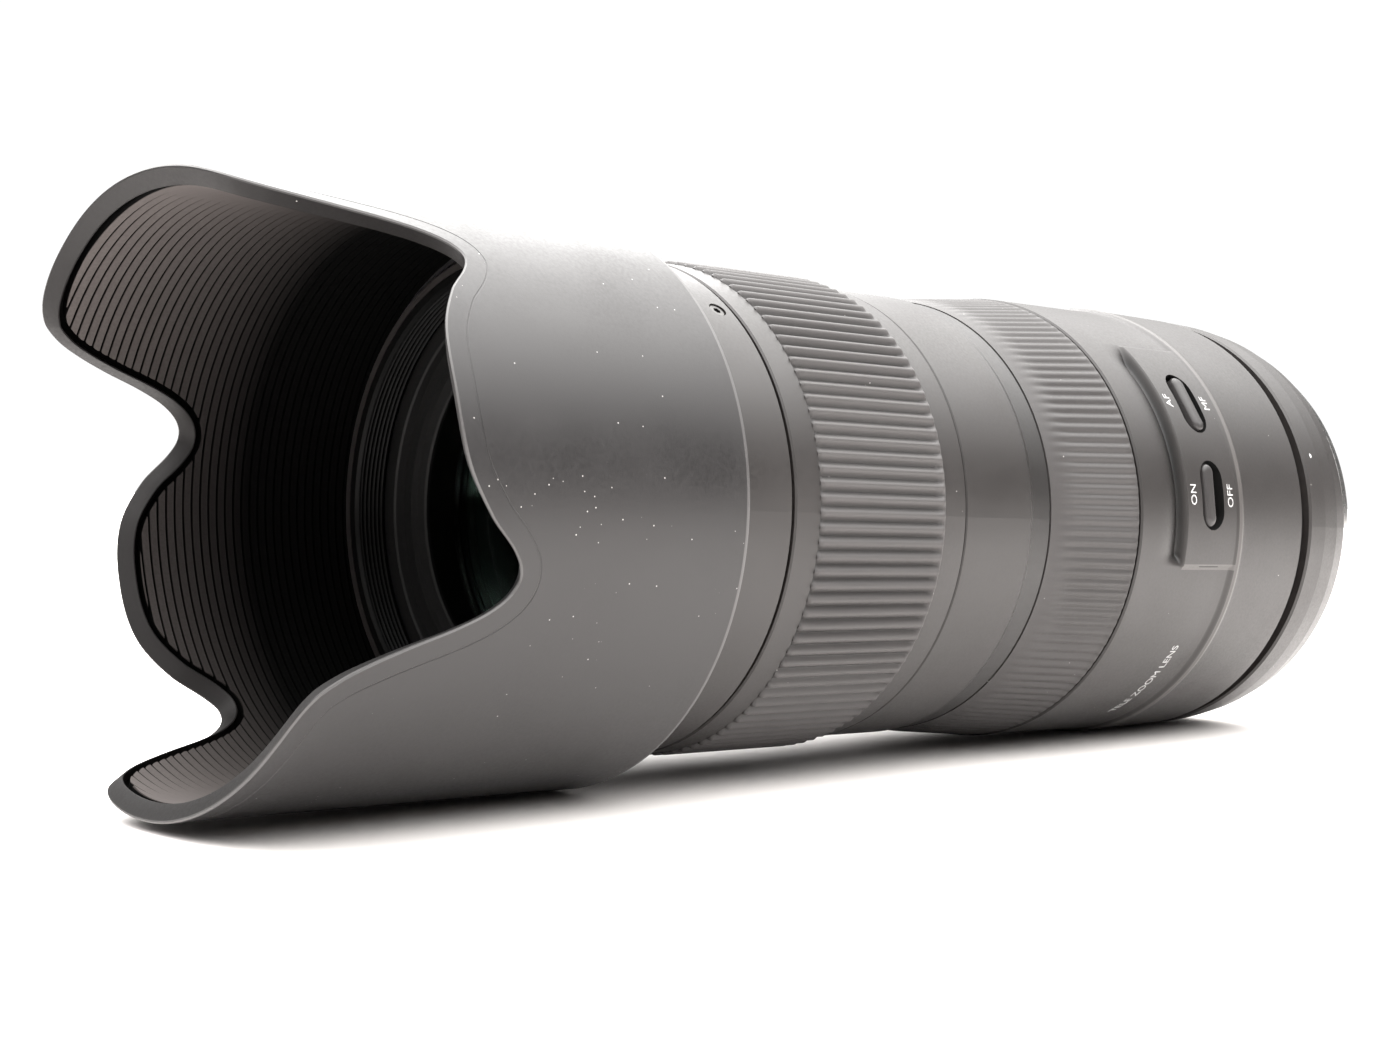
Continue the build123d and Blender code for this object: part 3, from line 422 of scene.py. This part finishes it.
def rim(angle):
    """Station of the hood's rim at an angle about the axis, on a smooth curve through the knots."""
    turned = abs((angle - SIDE + 90) % 180 - 90)
    knots = [(-rim_knots[1][0], rim_knots[1][1]), *rim_knots, (180 - rim_knots[-2][0], rim_knots[-2][1])]
    for before, start, end, after in zip(knots, knots[1:], knots[2:], knots[3:]):
        if start[0] <= turned <= end[0]:
            width = end[0] - start[0]
            share = (turned - start[0]) / width
            leave = (end[1] - before[1]) / (end[0] - before[0]) * width
            arrive = (after[1] - start[1]) / (after[0] - start[0]) * width
            squared, cubed = share * share, share**3
            return (
                (2 * cubed - 3 * squared + 1) * start[1] + (cubed - 2 * squared + share) * leave
                + (3 * squared - 2 * cubed) * end[1] + (cubed - squared) * arrive
            )
    raise ValueError("the rim has no station at this angle")


def behind_rim(angle, depth):
    """Station of the line that runs a depth behind the rim, measured along the wall."""
    if depth == 0:
        return rim(angle)
    probes = 12
    reach = math.degrees(depth / HOOD_R)
    shares = [probe / probes for probe in range(-probes, probes + 1)]
    return min(rim(angle + share * reach) - depth * math.sqrt(1 - share * share) for share in shares)


def ring_radius(forward):
    """Inner radius of the fine rings: sloping faces with a deep narrow groove between them."""
    share = ((forward - COLLAR_END) / RING_PITCH) % 1.0
    for (start, low), (end, high) in zip(ring_outline, ring_outline[1:]):
        if share <= end:
            return between(low, high, (share - start) / (end - start))
    return ring_outline[-1][1]


def hood_angles():
    """Angles of the hood's columns, closer together where the rim is steep."""
    angles = []
    angle = 0.0
    probe, flat_step, crowding = 0.3, 1.0, 1.6
    while angle < 360:
        angles.append(angle)
        slope = abs(rim(angle + probe) - rim(angle - probe)) / (2 * math.radians(probe) * HOOD_R)
        angle += flat_step / (1 + crowding * slope)
    for lug in LUG_ANGLES:
        for edge in (-LUG_ENTRY_HALF, LUG_ENTRY_HALF):
            for nudge in (-0.04, 0.04):
                angles.append((lug - HOOD_TURN + edge + nudge) % 360)
    return sorted(set(angles))


def hood_loop(angle):
    """Outline of the hood's wall at one angle, and the rows of its inside, its lip and its edges with a
    painted highlight.
    """
    entry = any(abs((angle - lug + HOOD_TURN + 180) % 360 - 180) < LUG_ENTRY_HALF for lug in LUG_ANGLES)
    back_r = COLLAR_ENTRY_R if entry else COLLAR_R
    outline = [(back_r, HOOD_START)]
    outline += [(radius, HOOD_START + ahead) for radius, ahead in rear_outline]
    wall_start, wall_end, wall_rows = outline[-1][1], behind_rim(angle, line_outline[0][1]), 9
    outline += [(HOOD_R, between(wall_start, wall_end, row / wall_rows)) for row in range(1, wall_rows)]
    outline += [(radius, behind_rim(angle, back)) for radius, back in line_outline + edge_outline]
    first_lip = len(outline)
    outline += [(radius, behind_rim(angle, back)) for radius, back in lip_outline]
    first_inner = len(outline) - 1
    lip_end = behind_rim(angle, LIP_BACK)
    rings_end = lip_end - RINGS_GAP
    outline += [(LIP_BACK_R, lip_end), (ring_radius(rings_end), rings_end)]
    teeth = int((rim_knots[-1][1] - COLLAR_END) / RING_PITCH) + 1
    for tooth in range(teeth, -1, -1):
        for share, _ in reversed(ring_outline[:-1]):
            forward = min(COLLAR_END + (tooth + share) * RING_PITCH, rings_end)
            outline.append((ring_radius(forward), forward))
    last_inner = len(outline) - 1
    outline += [(COLLAR_FACE_R, COLLAR_END), (COLLAR_R + COLLAR_CHAMFER, COLLAR_END)]
    outline += [(COLLAR_R, COLLAR_END - COLLAR_CHAMFER), (COLLAR_R, CATCH_END)]
    outline += [(CATCH_R, CATCH_END), (CATCH_R, CATCH_START), (back_r, CATCH_START)]
    bands = (
        (first_inner, last_inner, INSIDE_KIND), (first_lip, first_inner, LIP_KIND), (3, 5, HIGHLIGHT_EDGE_KIND),
        (first_lip - 2, first_lip - 1, HIGHLIGHT_EDGE_KIND),
    )
    return [place(radius, angle, forward) for radius, forward in outline], bands


loops, bands = [], ()
for angle in hood_angles():
    loop, bands = hood_loop(angle)
    loops.append(loop)
hood = add(
    "hood_shell", skin("hood_shell", loops, bands), "hood", "hood_plastic",
    also=[hood_inside, hood_lip, hood_edge_highlight], crease=28,
)
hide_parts("lens_hood")


# ---------------------------------------------------------------- ribbed grips
RIB_ROUNDNESS = 0.75
ZOOM_RIBS, ZOOM_RIB_COLUMNS, ZOOM_RIB_DEPTH, ZOOM_GRIP_INNER_R = 111, 10, 0.75, 35.93
FOCUS_RIBS, FOCUS_RIB_COLUMNS, FOCUS_RIB_DEPTH, FOCUS_GRIP_WALL = 136, 8, 0.34, 1.07


def ribbed(name, ribs, columns, rows, inner, crest, depth):
    """Rubber sleeve with ribs along it.

    inner, crest and depth each take a share of the length, from 0 at the rear to 1 at the front.
    """
    loops = []
    for i in range(ribs * columns):
        wave = 0.5 + 0.5 * math.cos(2 * math.pi * i / columns)
        rib = wave**RIB_ROUNDNESS
        angle = 360 * i / (ribs * columns)
        loop = [place(inner(0), angle, rows[0])]
        for forward in rows:
            share = (forward - rows[0]) / (rows[-1] - rows[0])
            loop.append(place(crest(share) - depth(share) * (1 - rib), angle, forward))
        loop.append(place(inner(1), angle, rows[-1]))
        loops.append(loop)
    return skin(name, loops)


ZOOM_GRIP_START, ZOOM_GRIP_END, ZOOM_GRIP_R = 117.3, 144.2, 37.2
zoom_length = ZOOM_GRIP_END - ZOOM_GRIP_START


def zoom_crest(share):
    """Radius of the zoom grip's ribs, rounded off at both ends."""
    from_rear, from_front = share * zoom_length, (1 - share) * zoom_length
    rear_drop = 0.55 * (1 - smooth(0, 0.8, from_rear)) ** 2
    front_drop = 0.35 * (1 - smooth(0, 0.5, from_front)) ** 2
    return ZOOM_GRIP_R - rear_drop - front_drop


zoom_steps = (0, 0.12, 0.3, 0.55, 0.9, 2, 5, 9, 13, 17, 21, 24, 25.9, 26.3, 26.6, 26.78, 26.9)
zoom_rows = [ZOOM_GRIP_START + step for step in zoom_steps]
zoom_grip = add(
    "zoom_grip_ribs",
    ribbed(
        "zoom_grip_ribs", ZOOM_RIBS, ZOOM_RIB_COLUMNS, zoom_rows, lambda share: ZOOM_GRIP_INNER_R, zoom_crest,
        lambda share: ZOOM_RIB_DEPTH * smooth(0, 0.045, share),
    ),
    "zoom_group", "grip_rubber", material=zoom_rubber, crease=50,
)
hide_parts("zoom_grip")

FOCUS_START, FOCUS_END, FOCUS_REAR_R, FOCUS_FRONT_R = 69.9, 90.6, 37.7, 36.0
focus_length = FOCUS_END - FOCUS_START


def focus_crest(share):
    """Radius of the focus grip's ribs: flared to the rear, with a long rounded front."""
    from_rear, from_front = share * focus_length, (1 - share) * focus_length
    flare = between(FOCUS_REAR_R, FOCUS_FRONT_R, share)
    return flare - 0.3 * (1 - smooth(0, 0.4, from_rear)) ** 2 - 0.38 * (1 - smooth(0, 4.5, from_front))


focus_steps = (0, 0.1, 0.25, 0.45, 0.8, 2, 5, 8, 11, 14, 15.5, 17, 18.3, 19.4, 20.2, 20.4, 20.55, 20.7)
focus_rows = [FOCUS_START + step for step in focus_steps]
focus_grip = add(
    "focus_grip_ribs",
    ribbed(
        "focus_grip_ribs", FOCUS_RIBS, FOCUS_RIB_COLUMNS, focus_rows,
        lambda share: between(FOCUS_REAR_R, FOCUS_FRONT_R, share) - FOCUS_GRIP_WALL, focus_crest,
        lambda share: FOCUS_RIB_DEPTH * smooth(0.0, 0.05, share) * (1 - smooth(0.66, 0.95, share)),
    ),
    "focus_group", "grip_rubber", crease=50,
)
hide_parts("focus_grip")

# ---------------------------------------------------------------- rear housing and switch panel
HOUSING_START, HOUSING_END, REAR_GROOVE_R, REAR_GROOVE_START = 21.5, 69.6, 36.4, 18.94
HOUSING_INNER_R, SEAT_R, SEAT_LONG, SEAT_TAPER = 35.0, 33.32, 3, 1
RIDGE_START, RIDGE_END, RIDGE_LOW_R = 40.9, 42.0, 37.5
PANEL_R, PANEL_START, PANEL_END = 38.2, 41.6, 57.3
PANEL_LOW, PANEL_HIGH = -11.0, 51.5
SCOOP_REACH, SCOOP_DEPTH = 8.0, 1.5
SWITCH_ANGLES, SWITCH_AT = (32.5, 7.3), 49.65
SLOT_LONG, SLOT_WIDE, SLOT_R, SLOT_CORNERS = 11.8, 6.4, 36.3, 14
base_outline = (
    (HOUSING_START, 37.75), (21.95, 38.1), (30, 38.22), (39.6, 38.33), (40.6, 38.36), (41.3, 38.45),
    (RIDGE_END, 38.36), (43.4, 37.92), (46, 37.87), (60, 37.86), (HOUSING_END - 0.3, 37.85),
    (HOUSING_END, 37.55),
)


def housing_radius(angle, forward):
    """Outer radius of the rear housing, with its ridge line, raised panel and scoop."""
    radius = base_outline[-1][1]
    for (start, low), (end, high) in zip(base_outline, base_outline[1:]):
        if start <= forward <= end:
            near_ridge = 40 < start < 45
            share = smooth(start, end, forward) if near_ridge else (forward - start) / (end - start)
            radius = between(low, high, share)
            break
    turned = (angle + 180) % 360 - 180
    across = smooth(PANEL_LOW - 0.5, PANEL_LOW + 0.6, turned)
    across *= 1 - smooth(PANEL_HIGH - 0.6, PANEL_HIGH + 0.5, turned)
    along = smooth(PANEL_START, PANEL_START + 1.2, forward)
    along *= 1 - smooth(PANEL_END - 0.35, PANEL_END + 0.4, forward)
    raised = max(radius, between(radius, PANEL_R, across * along))
    ends = smooth(PANEL_LOW, PANEL_LOW + 3.4, turned) * (1 - smooth(PANEL_HIGH - 7, PANEL_HIGH + 1, turned))
    reach = min(max((forward - PANEL_END - 0.6) / SCOOP_REACH, 0.0), 1.0)
    wall = smooth(PANEL_END - 0.3, PANEL_END + 0.7, forward)
    return raised - SCOOP_DEPTH * ends * wall * (1 - reach) ** 3


def steps(*spans):
    """Ascending values: each span is (start, end, step)."""
    values = []
    for start, end, step in spans:
        count = max(round((end - start) / step), 1)
        values += [start + (end - start) * index / count for index in range(count)]
    return values + [spans[-1][1]]


housing_rows = steps(
    (HOUSING_START, 21.95, 0.15), (21.95, 39.6, 3.0), (39.6, 44.0, 0.22), (44.0, 56.6, 1.4),
    (56.6, 59.0, 0.13), (59.0, 60.0, 0.22), (60.0, 67.0, 0.5), (67.0, 69.3, 0.8), (69.3, HOUSING_END, 0.1),
)
housing_angles = steps(
    (-14.0, -8.0, 0.25), (-8.0, 46.0, 0.5), (46.0, 54.0, 0.25), (54.0, 346.0, 2.0),
)[:-1]
loops = []
for angle in housing_angles:
    outline = [(HOUSING_INNER_R, REAR_GROOVE_START), (REAR_GROOVE_R, REAR_GROOVE_START)]
    outline.append((REAR_GROOVE_R, HOUSING_START))
    outline += [(housing_radius(angle, forward), forward) for forward in housing_rows]
    outline += [(SEAT_R, HOUSING_END), (SEAT_R, HOUSING_END - SEAT_LONG)]
    outline.append((HOUSING_INNER_R, HOUSING_END - SEAT_LONG - SEAT_TAPER))
    loops.append([place(radius, angle, forward) for radius, forward in outline])
housing_mesh = skin("rear_housing_shell", loops)


def slot_block(angle, forward, low, high):
    """Closed upright slot-shaped block whose length runs round the barrel."""
    centre = place(1, angle, 0)
    sideways = place(1, angle + 90, 0)
    layers = []
    for radius in (low, high):
        middle = centre * radius + place(0, 0, forward)
        outline = capsule(SLOT_LONG, SLOT_WIDE, SLOT_CORNERS)
        layers.append([middle + sideways * u + place(0, 0, v) for u, v in outline])
    return stacked("cutter", layers)


def cut(mesh, cutters):
    """The mesh with the cutters taken out of it."""
    holder = bpy.data.objects.new("cut_holder", mesh)
    bpy.context.scene.collection.objects.link(holder)
    tools = []
    for cutter in cutters:
        tool = bpy.data.objects.new("cut_tool", cutter)
        bpy.context.scene.collection.objects.link(tool)
        tools.append(tool)
        taking = holder.modifiers.new("cut", "BOOLEAN")
        taking.operation = "DIFFERENCE"
        taking.solver = "EXACT"
        taking.object = tool
    bpy.context.view_layer.update()
    graph = bpy.context.evaluated_depsgraph_get()
    result = bpy.data.meshes.new_from_object(holder.evaluated_get(graph))
    for used in [holder, *tools]:
        bpy.data.objects.remove(used)
    return result


cutter_top = PANEL_R + 1.8
slots = [slot_block(angle, SWITCH_AT, SLOT_R, cutter_top) for angle in SWITCH_ANGLES]
housing_mesh = cut(housing_mesh, slots)
SLOT_SHADE_KIND, BEVEL_HIGHLIGHT_KIND = 1, 2
housing_mesh.materials.clear()
for face in housing_mesh.polygons:
    radius = math.hypot(face.center.x, face.center.z) / MM
    turned = math.degrees(math.atan2(face.center.z, face.center.x))
    forward = -face.center.y / MM
    in_slots = abs(forward - SWITCH_AT) < SLOT_WIDE / 2 + 0.01 and PANEL_LOW < turned < PANEL_HIGH
    on_ridge = RIDGE_START < forward < RIDGE_END
    on_panel_edge = PANEL_START < forward < PANEL_END - 0.3 and abs(turned - PANEL_LOW) < 0.8
    # painted shade: the switch slots' walls take the darkest black
    if in_slots and SLOT_R - 0.3 < radius < PANEL_R - 0.1:
        face.material_index = SLOT_SHADE_KIND
    # painted highlight on the ridge and the panel's lower edge
    elif radius > RIDGE_LOW_R and (on_ridge or on_panel_edge):
        face.material_index = BEVEL_HIGHLIGHT_KIND
    else:
        face.material_index = 0
housing = add(
    "rear_housing_shell", housing_mesh, "barrel", "black_barrel", material=housing_paint_painted_shade,
    also=[finishes["black_plastic"], bevel_edge_highlight], crease=32,
)
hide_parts("rear_housing")

KNOB_LONG, KNOB_WIDE, KNOB_STEP, KNOB_CORNERS = 10.6, 2.9, 0.6, 12
knob_layers = ((0, 36.5), (0, 37.95), (0.1, 38.16), (0.3, 38.32), (0.6, 38.42), (1.0, 38.45))  # inset, radius


def wrapped(points, radius, angle, forward):
    """Flat points (round the barrel, along it) laid on the barrel at a radius."""
    return [place(radius, angle + math.degrees(across / radius), forward + along) for across, along in points]


def knob(name, angle, forward, body):
    """Switch knob: a slot-shaped bar across the slot with a rounded crown."""
    layers = []
    for inset, radius in knob_layers:
        outline = capsule(KNOB_LONG - 2 * inset, KNOB_WIDE - 2 * inset, KNOB_CORNERS)
        layers.append(wrapped(outline, radius, angle, forward))
    return add(name, stacked(name, layers), body, "switch_plastic", crease=40)


focus_knob = knob("focus_mode_knob", SWITCH_ANGLES[0], SWITCH_AT - KNOB_STEP, "focus_mode_switch")
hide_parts("focus_mode_switch")
stabiliser_knob = knob("stabiliser_knob", SWITCH_ANGLES[1], SWITCH_AT + KNOB_STEP, "stabiliser_switch")
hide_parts("stabiliser_switch")

# ---------------------------------------------------------------- filter thread
THREAD_START, THREAD_END, THREAD_PITCH, THREAD_COLUMNS = 167.4, 172.4, 0.75, 240
THREAD_CREST_R, THREAD_ROOT_R, FILTER_RING_R = 33.22, 33.55, 34.88
FILTER_RING_START, FILTER_RING_END, FILTER_WALL_R = 163.02, 172.9, 33.7


def thread_loop(angle):
    """Outline of the filter ring's wall: its thread climbs one pitch a turn."""
    outline = [(FILTER_WALL_R, FILTER_RING_START), (FILTER_RING_R, FILTER_RING_START)]
    outline += [(FILTER_RING_R, FILTER_RING_END), (FILTER_WALL_R, FILTER_RING_END), (33.3, THREAD_END)]
    tooth = ((0.6, THREAD_CREST_R), (0.4, THREAD_CREST_R), (0.1, THREAD_ROOT_R), (-0.1, THREAD_ROOT_R))
    turns = int((THREAD_END - THREAD_START) / THREAD_PITCH)
    for turn in range(turns, -1, -1):
        for share, radius in tooth:
            forward = THREAD_START + (turn + share + angle / 360) * THREAD_PITCH
            outline.append((radius, min(max(forward, THREAD_START), THREAD_END)))
    outline.append((FILTER_WALL_R, THREAD_START))
    return [place(radius, angle, forward) for radius, forward in outline]


thread = add(
    "filter_thread_ring",
    skin("filter_thread_ring", [thread_loop(360 * step / THREAD_COLUMNS) for step in range(THREAD_COLUMNS)]),
    "barrel", "inner_aluminium",
)
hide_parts("filter_ring")

# ---------------------------------------------------------------- printed marks
PRINT_HALF_THICK, PRINT_LIFT = 0.012, 0.018


def wrap(name, text, size, angle, forward, radius, body, slot="switch_plastic"):
    """Thin printed text wrapped on the barrel, reading round it."""
    curve = bpy.data.curves.new(name + "_text", "FONT")
    curve.body = text
    curve.size = size
    curve.align_x = "CENTER"
    curve.align_y = "CENTER"
    curve.extrude = PRINT_HALF_THICK
    curve.resolution_u = 4
    flat = bpy.data.objects.new(name + "_flat", curve)
    bpy.context.scene.collection.objects.link(flat)
    bpy.context.view_layer.update()
    graph = bpy.context.evaluated_depsgraph_get()
    mesh = bpy.data.meshes.new_from_object(flat.evaluated_get(graph))
    bpy.data.objects.remove(flat)
    bpy.data.curves.remove(curve)
    for vertex in mesh.vertices:
        across, along, height = vertex.co
        swing = angle + math.degrees(across / radius)
        vertex.co = place(radius + PRINT_LIFT + height, swing, forward + along)
    mesh.name = name
    mesh.materials.clear()
    return add(name, clean(mesh), body, slot, material=white_print)


LABEL_SIZE, LABEL_FRONT, LABEL_REAR, SCALE_SIZE = 2.3, 55.2, 44.4, 3.2
wrap("label_auto_focus", "AF", LABEL_SIZE, SWITCH_ANGLES[0], LABEL_FRONT, PANEL_R, "barrel")
wrap("label_manual_focus", "MF", LABEL_SIZE, SWITCH_ANGLES[0], LABEL_REAR, PANEL_R, "barrel")
wrap("label_stabiliser_on", "ON", LABEL_SIZE, SWITCH_ANGLES[1], LABEL_FRONT, PANEL_R, "barrel")
wrap("label_stabiliser_off", "OFF", LABEL_SIZE, SWITCH_ANGLES[1], LABEL_REAR, PANEL_R, "barrel")
wrap("label_lens_type", "TELE ZOOM LENS", LABEL_SIZE, -47.0, 49.7, 37.87, "barrel")


# Distance scale on the drum, in metres. Each number passes the index line as the focus ring turns.
DRUM_R, SCALE_AT = 34.2, 102.0
distance_marks = (("INF", 0), ("10", 14), ("5", 29), ("3", 50), ("2", 78), ("1.5", 106))
for text, turned in distance_marks:
    label = "distance_" + text.replace(".", "_")
    wrap(label, text, SCALE_SIZE, TOP - turned, SCALE_AT, DRUM_R, "focus_group", slot="drum_paint")


def bar(name, angle, start, end, half_width, radius, body):
    """Thin printed line along the barrel, with its ends cut square."""
    swing = math.degrees(half_width / radius)
    corners = ((-swing, start), (swing, start), (swing, end), (-swing, end))
    layers = [
        [place(radius + lift, angle + turn, forward) for turn, forward in corners] for lift in (-0.01, 0.03)
    ]
    return add(name, stacked(name, layers), body, "switch_plastic", material=white_print)


bar("focus_index_line", TOP, 107.9, 110.9, 0.2, 36.0, "barrel")

DOT_SIDES, DOT_HEIGHT = 24, 0.05
dot_layers = ((0.5, 0.045), (0.85, 0.03), (1.0, -0.03))  # share of the size, and lift


def dot(name, angle, forward, radius, size, body):
    """Small domed paint dot on the barrel."""
    work = bmesh.new()
    crown = work.verts.new(place(radius + DOT_HEIGHT, angle, forward))
    rings = []
    for share, lift in dot_layers:
        ring = []
        for step in range(DOT_SIDES):
            turn = 2 * math.pi * step / DOT_SIDES
            swing = angle + math.degrees(share * size * math.cos(turn) / radius)
            ring.append(work.verts.new(place(radius + lift, swing, forward + share * size * math.sin(turn))))
        rings.append(ring)
    for step in range(DOT_SIDES):
        after = (step + 1) % DOT_SIDES
        work.faces.new((crown, rings[0][step], rings[0][after]))
        for inner, outer in zip(rings, rings[1:]):
            work.faces.new((inner[step], outer[step], outer[after], inner[after]))
    work.faces.new(rings[-1])
    return add(name, settle(work, bpy.data.meshes.new(name)), body, "switch_plastic", material=white_print)


dot("mount_index_dot", 19.6, 15.9, 37.86, 0.5, "barrel")
dot("hood_index_dot", TOP, 165.2, HOOD_R - 0.005, 0.7, "hood")


# ---------------------------------------------------------------- stage, light and camera
CAMERA_PLACE = Vector((0.248963, -0.370601, 0.0))
# The lens rests on the hood's rear edge and on the ridge of the rear housing, so the floor tilts.
REST_AT, REST_R = 41.2, 38.4
FLOOR_TILT = math.atan2(HOOD_R - REST_R, HOOD_START - REST_AT)
FLOOR_REACH, FLOOR_SIDES, FLOOR_GAP = 4.0, 48, 0.03
HORIZON_LIGHT, ZENITH_LIGHT, BACKDROP_LIGHT = 0.12, 8.6, 1.05
HORIZON_END, ZENITH_START = 0.2, 0.95
work = bmesh.new()
floor_edge = []
for step in range(FLOOR_SIDES):
    turn = 2 * math.pi * step / FLOOR_SIDES
    floor_edge.append(work.verts.new((FLOOR_REACH * math.cos(turn), FLOOR_REACH * math.sin(turn), 0)))
work.faces.new(floor_edge)
floor_mesh = bpy.data.meshes.new("floor")
work.to_mesh(floor_mesh)
work.free()
floor = bpy.data.objects.new("floor", floor_mesh)
bpy.context.scene.collection.objects.link(floor)
floor.rotation_euler = (FLOOR_TILT, 0, 0)
floor.location = Vector((0, -HOOD_START * MM, -(HOOD_R + FLOOR_GAP) * MM))
floor_look = Nodes("floor_white")
floor_look.set({"Roughness": 0.6, "Specular IOR Level": 0.2})
cloud = floor_look.ramp(floor_look.noise(60.0, 3.0), 0.3, 0.7)
floor_look.wire({"Base Color": floor_look.mix(cloud, (0.82, 0.79, 0.775, 1), (0.84, 0.815, 0.80, 1))})
floor_mesh.materials.append(floor_look.material)

world = bpy.data.worlds.new("studio")
bpy.context.scene.world = world
world.use_nodes = True
sky = world.node_tree
overhead = sky.nodes["Background"]
direction = sky.nodes.new("ShaderNodeTexCoord").outputs["Generated"]
height = sky.nodes.new("ShaderNodeSeparateXYZ")
sky.links.new(direction, height.inputs[0])
climb = sky.nodes.new("ShaderNodeMapRange")
climb.interpolation_type = "SMOOTHSTEP"
sky.links.new(height.outputs["Z"], climb.inputs["Value"])
climb.inputs["From Min"].default_value = HORIZON_END
climb.inputs["From Max"].default_value = ZENITH_START
climb.inputs["To Min"].default_value = HORIZON_LIGHT
climb.inputs["To Max"].default_value = ZENITH_LIGHT
sky.links.new(climb.outputs["Result"], overhead.inputs["Strength"])
overhead.inputs["Color"].default_value = (1.0, 0.985, 0.97, 1)
backdrop = sky.nodes.new("ShaderNodeBackground")
backdrop.inputs["Color"].default_value = (1, 1, 1, 1)
backdrop.inputs["Strength"].default_value = BACKDROP_LIGHT
rays = sky.nodes.new("ShaderNodeLightPath")
blend = sky.nodes.new("ShaderNodeMixShader")
sky.links.new(rays.outputs["Is Camera Ray"], blend.inputs[0])
sky.links.new(overhead.outputs[0], blend.inputs[1])
sky.links.new(backdrop.outputs[0], blend.inputs[2])
sky.links.new(blend.outputs[0], sky.nodes["World Output"].inputs["Surface"])

SOFTBOX_PLACE, SOFTBOX_TARGET = Vector((-0.5, 0.15, 0.45)), Vector((0, -0.1, 0.03))
softbox_data = bpy.data.lights.new("back_above", "AREA")
softbox_data.shape = "RECTANGLE"
softbox_data.size = 0.6
softbox_data.size_y = 0.4
softbox_data.energy = 2.5
softbox = bpy.data.objects.new("back_above", softbox_data)
bpy.context.scene.collection.objects.link(softbox)
softbox.location = SOFTBOX_PLACE
softbox.rotation_mode = "QUATERNION"
softbox.rotation_quaternion = (SOFTBOX_TARGET - SOFTBOX_PLACE).to_track_quat("-Z", "Y")

camera_data = bpy.data.cameras.new("camera")
camera = bpy.data.objects.new("camera", camera_data)
bpy.context.scene.collection.objects.link(camera)
camera_data.sensor_width = 36.0
camera_data.lens = 57.45
camera_data.clip_start = 0.01
camera_right = Vector((0.691283, 0.722016, 0.028657))
camera_up = Vector((-0.024868, -0.015863, 0.999565))
camera_back = Vector((0.722156, -0.691694, 0.006989))
camera_turn = Matrix((camera_right, camera_up, camera_back)).transposed().to_4x4()
camera.matrix_world = Matrix.Translation(CAMERA_PLACE) @ camera_turn
bpy.context.scene.camera = camera
bpy.context.scene.view_settings.view_transform = "Standard"
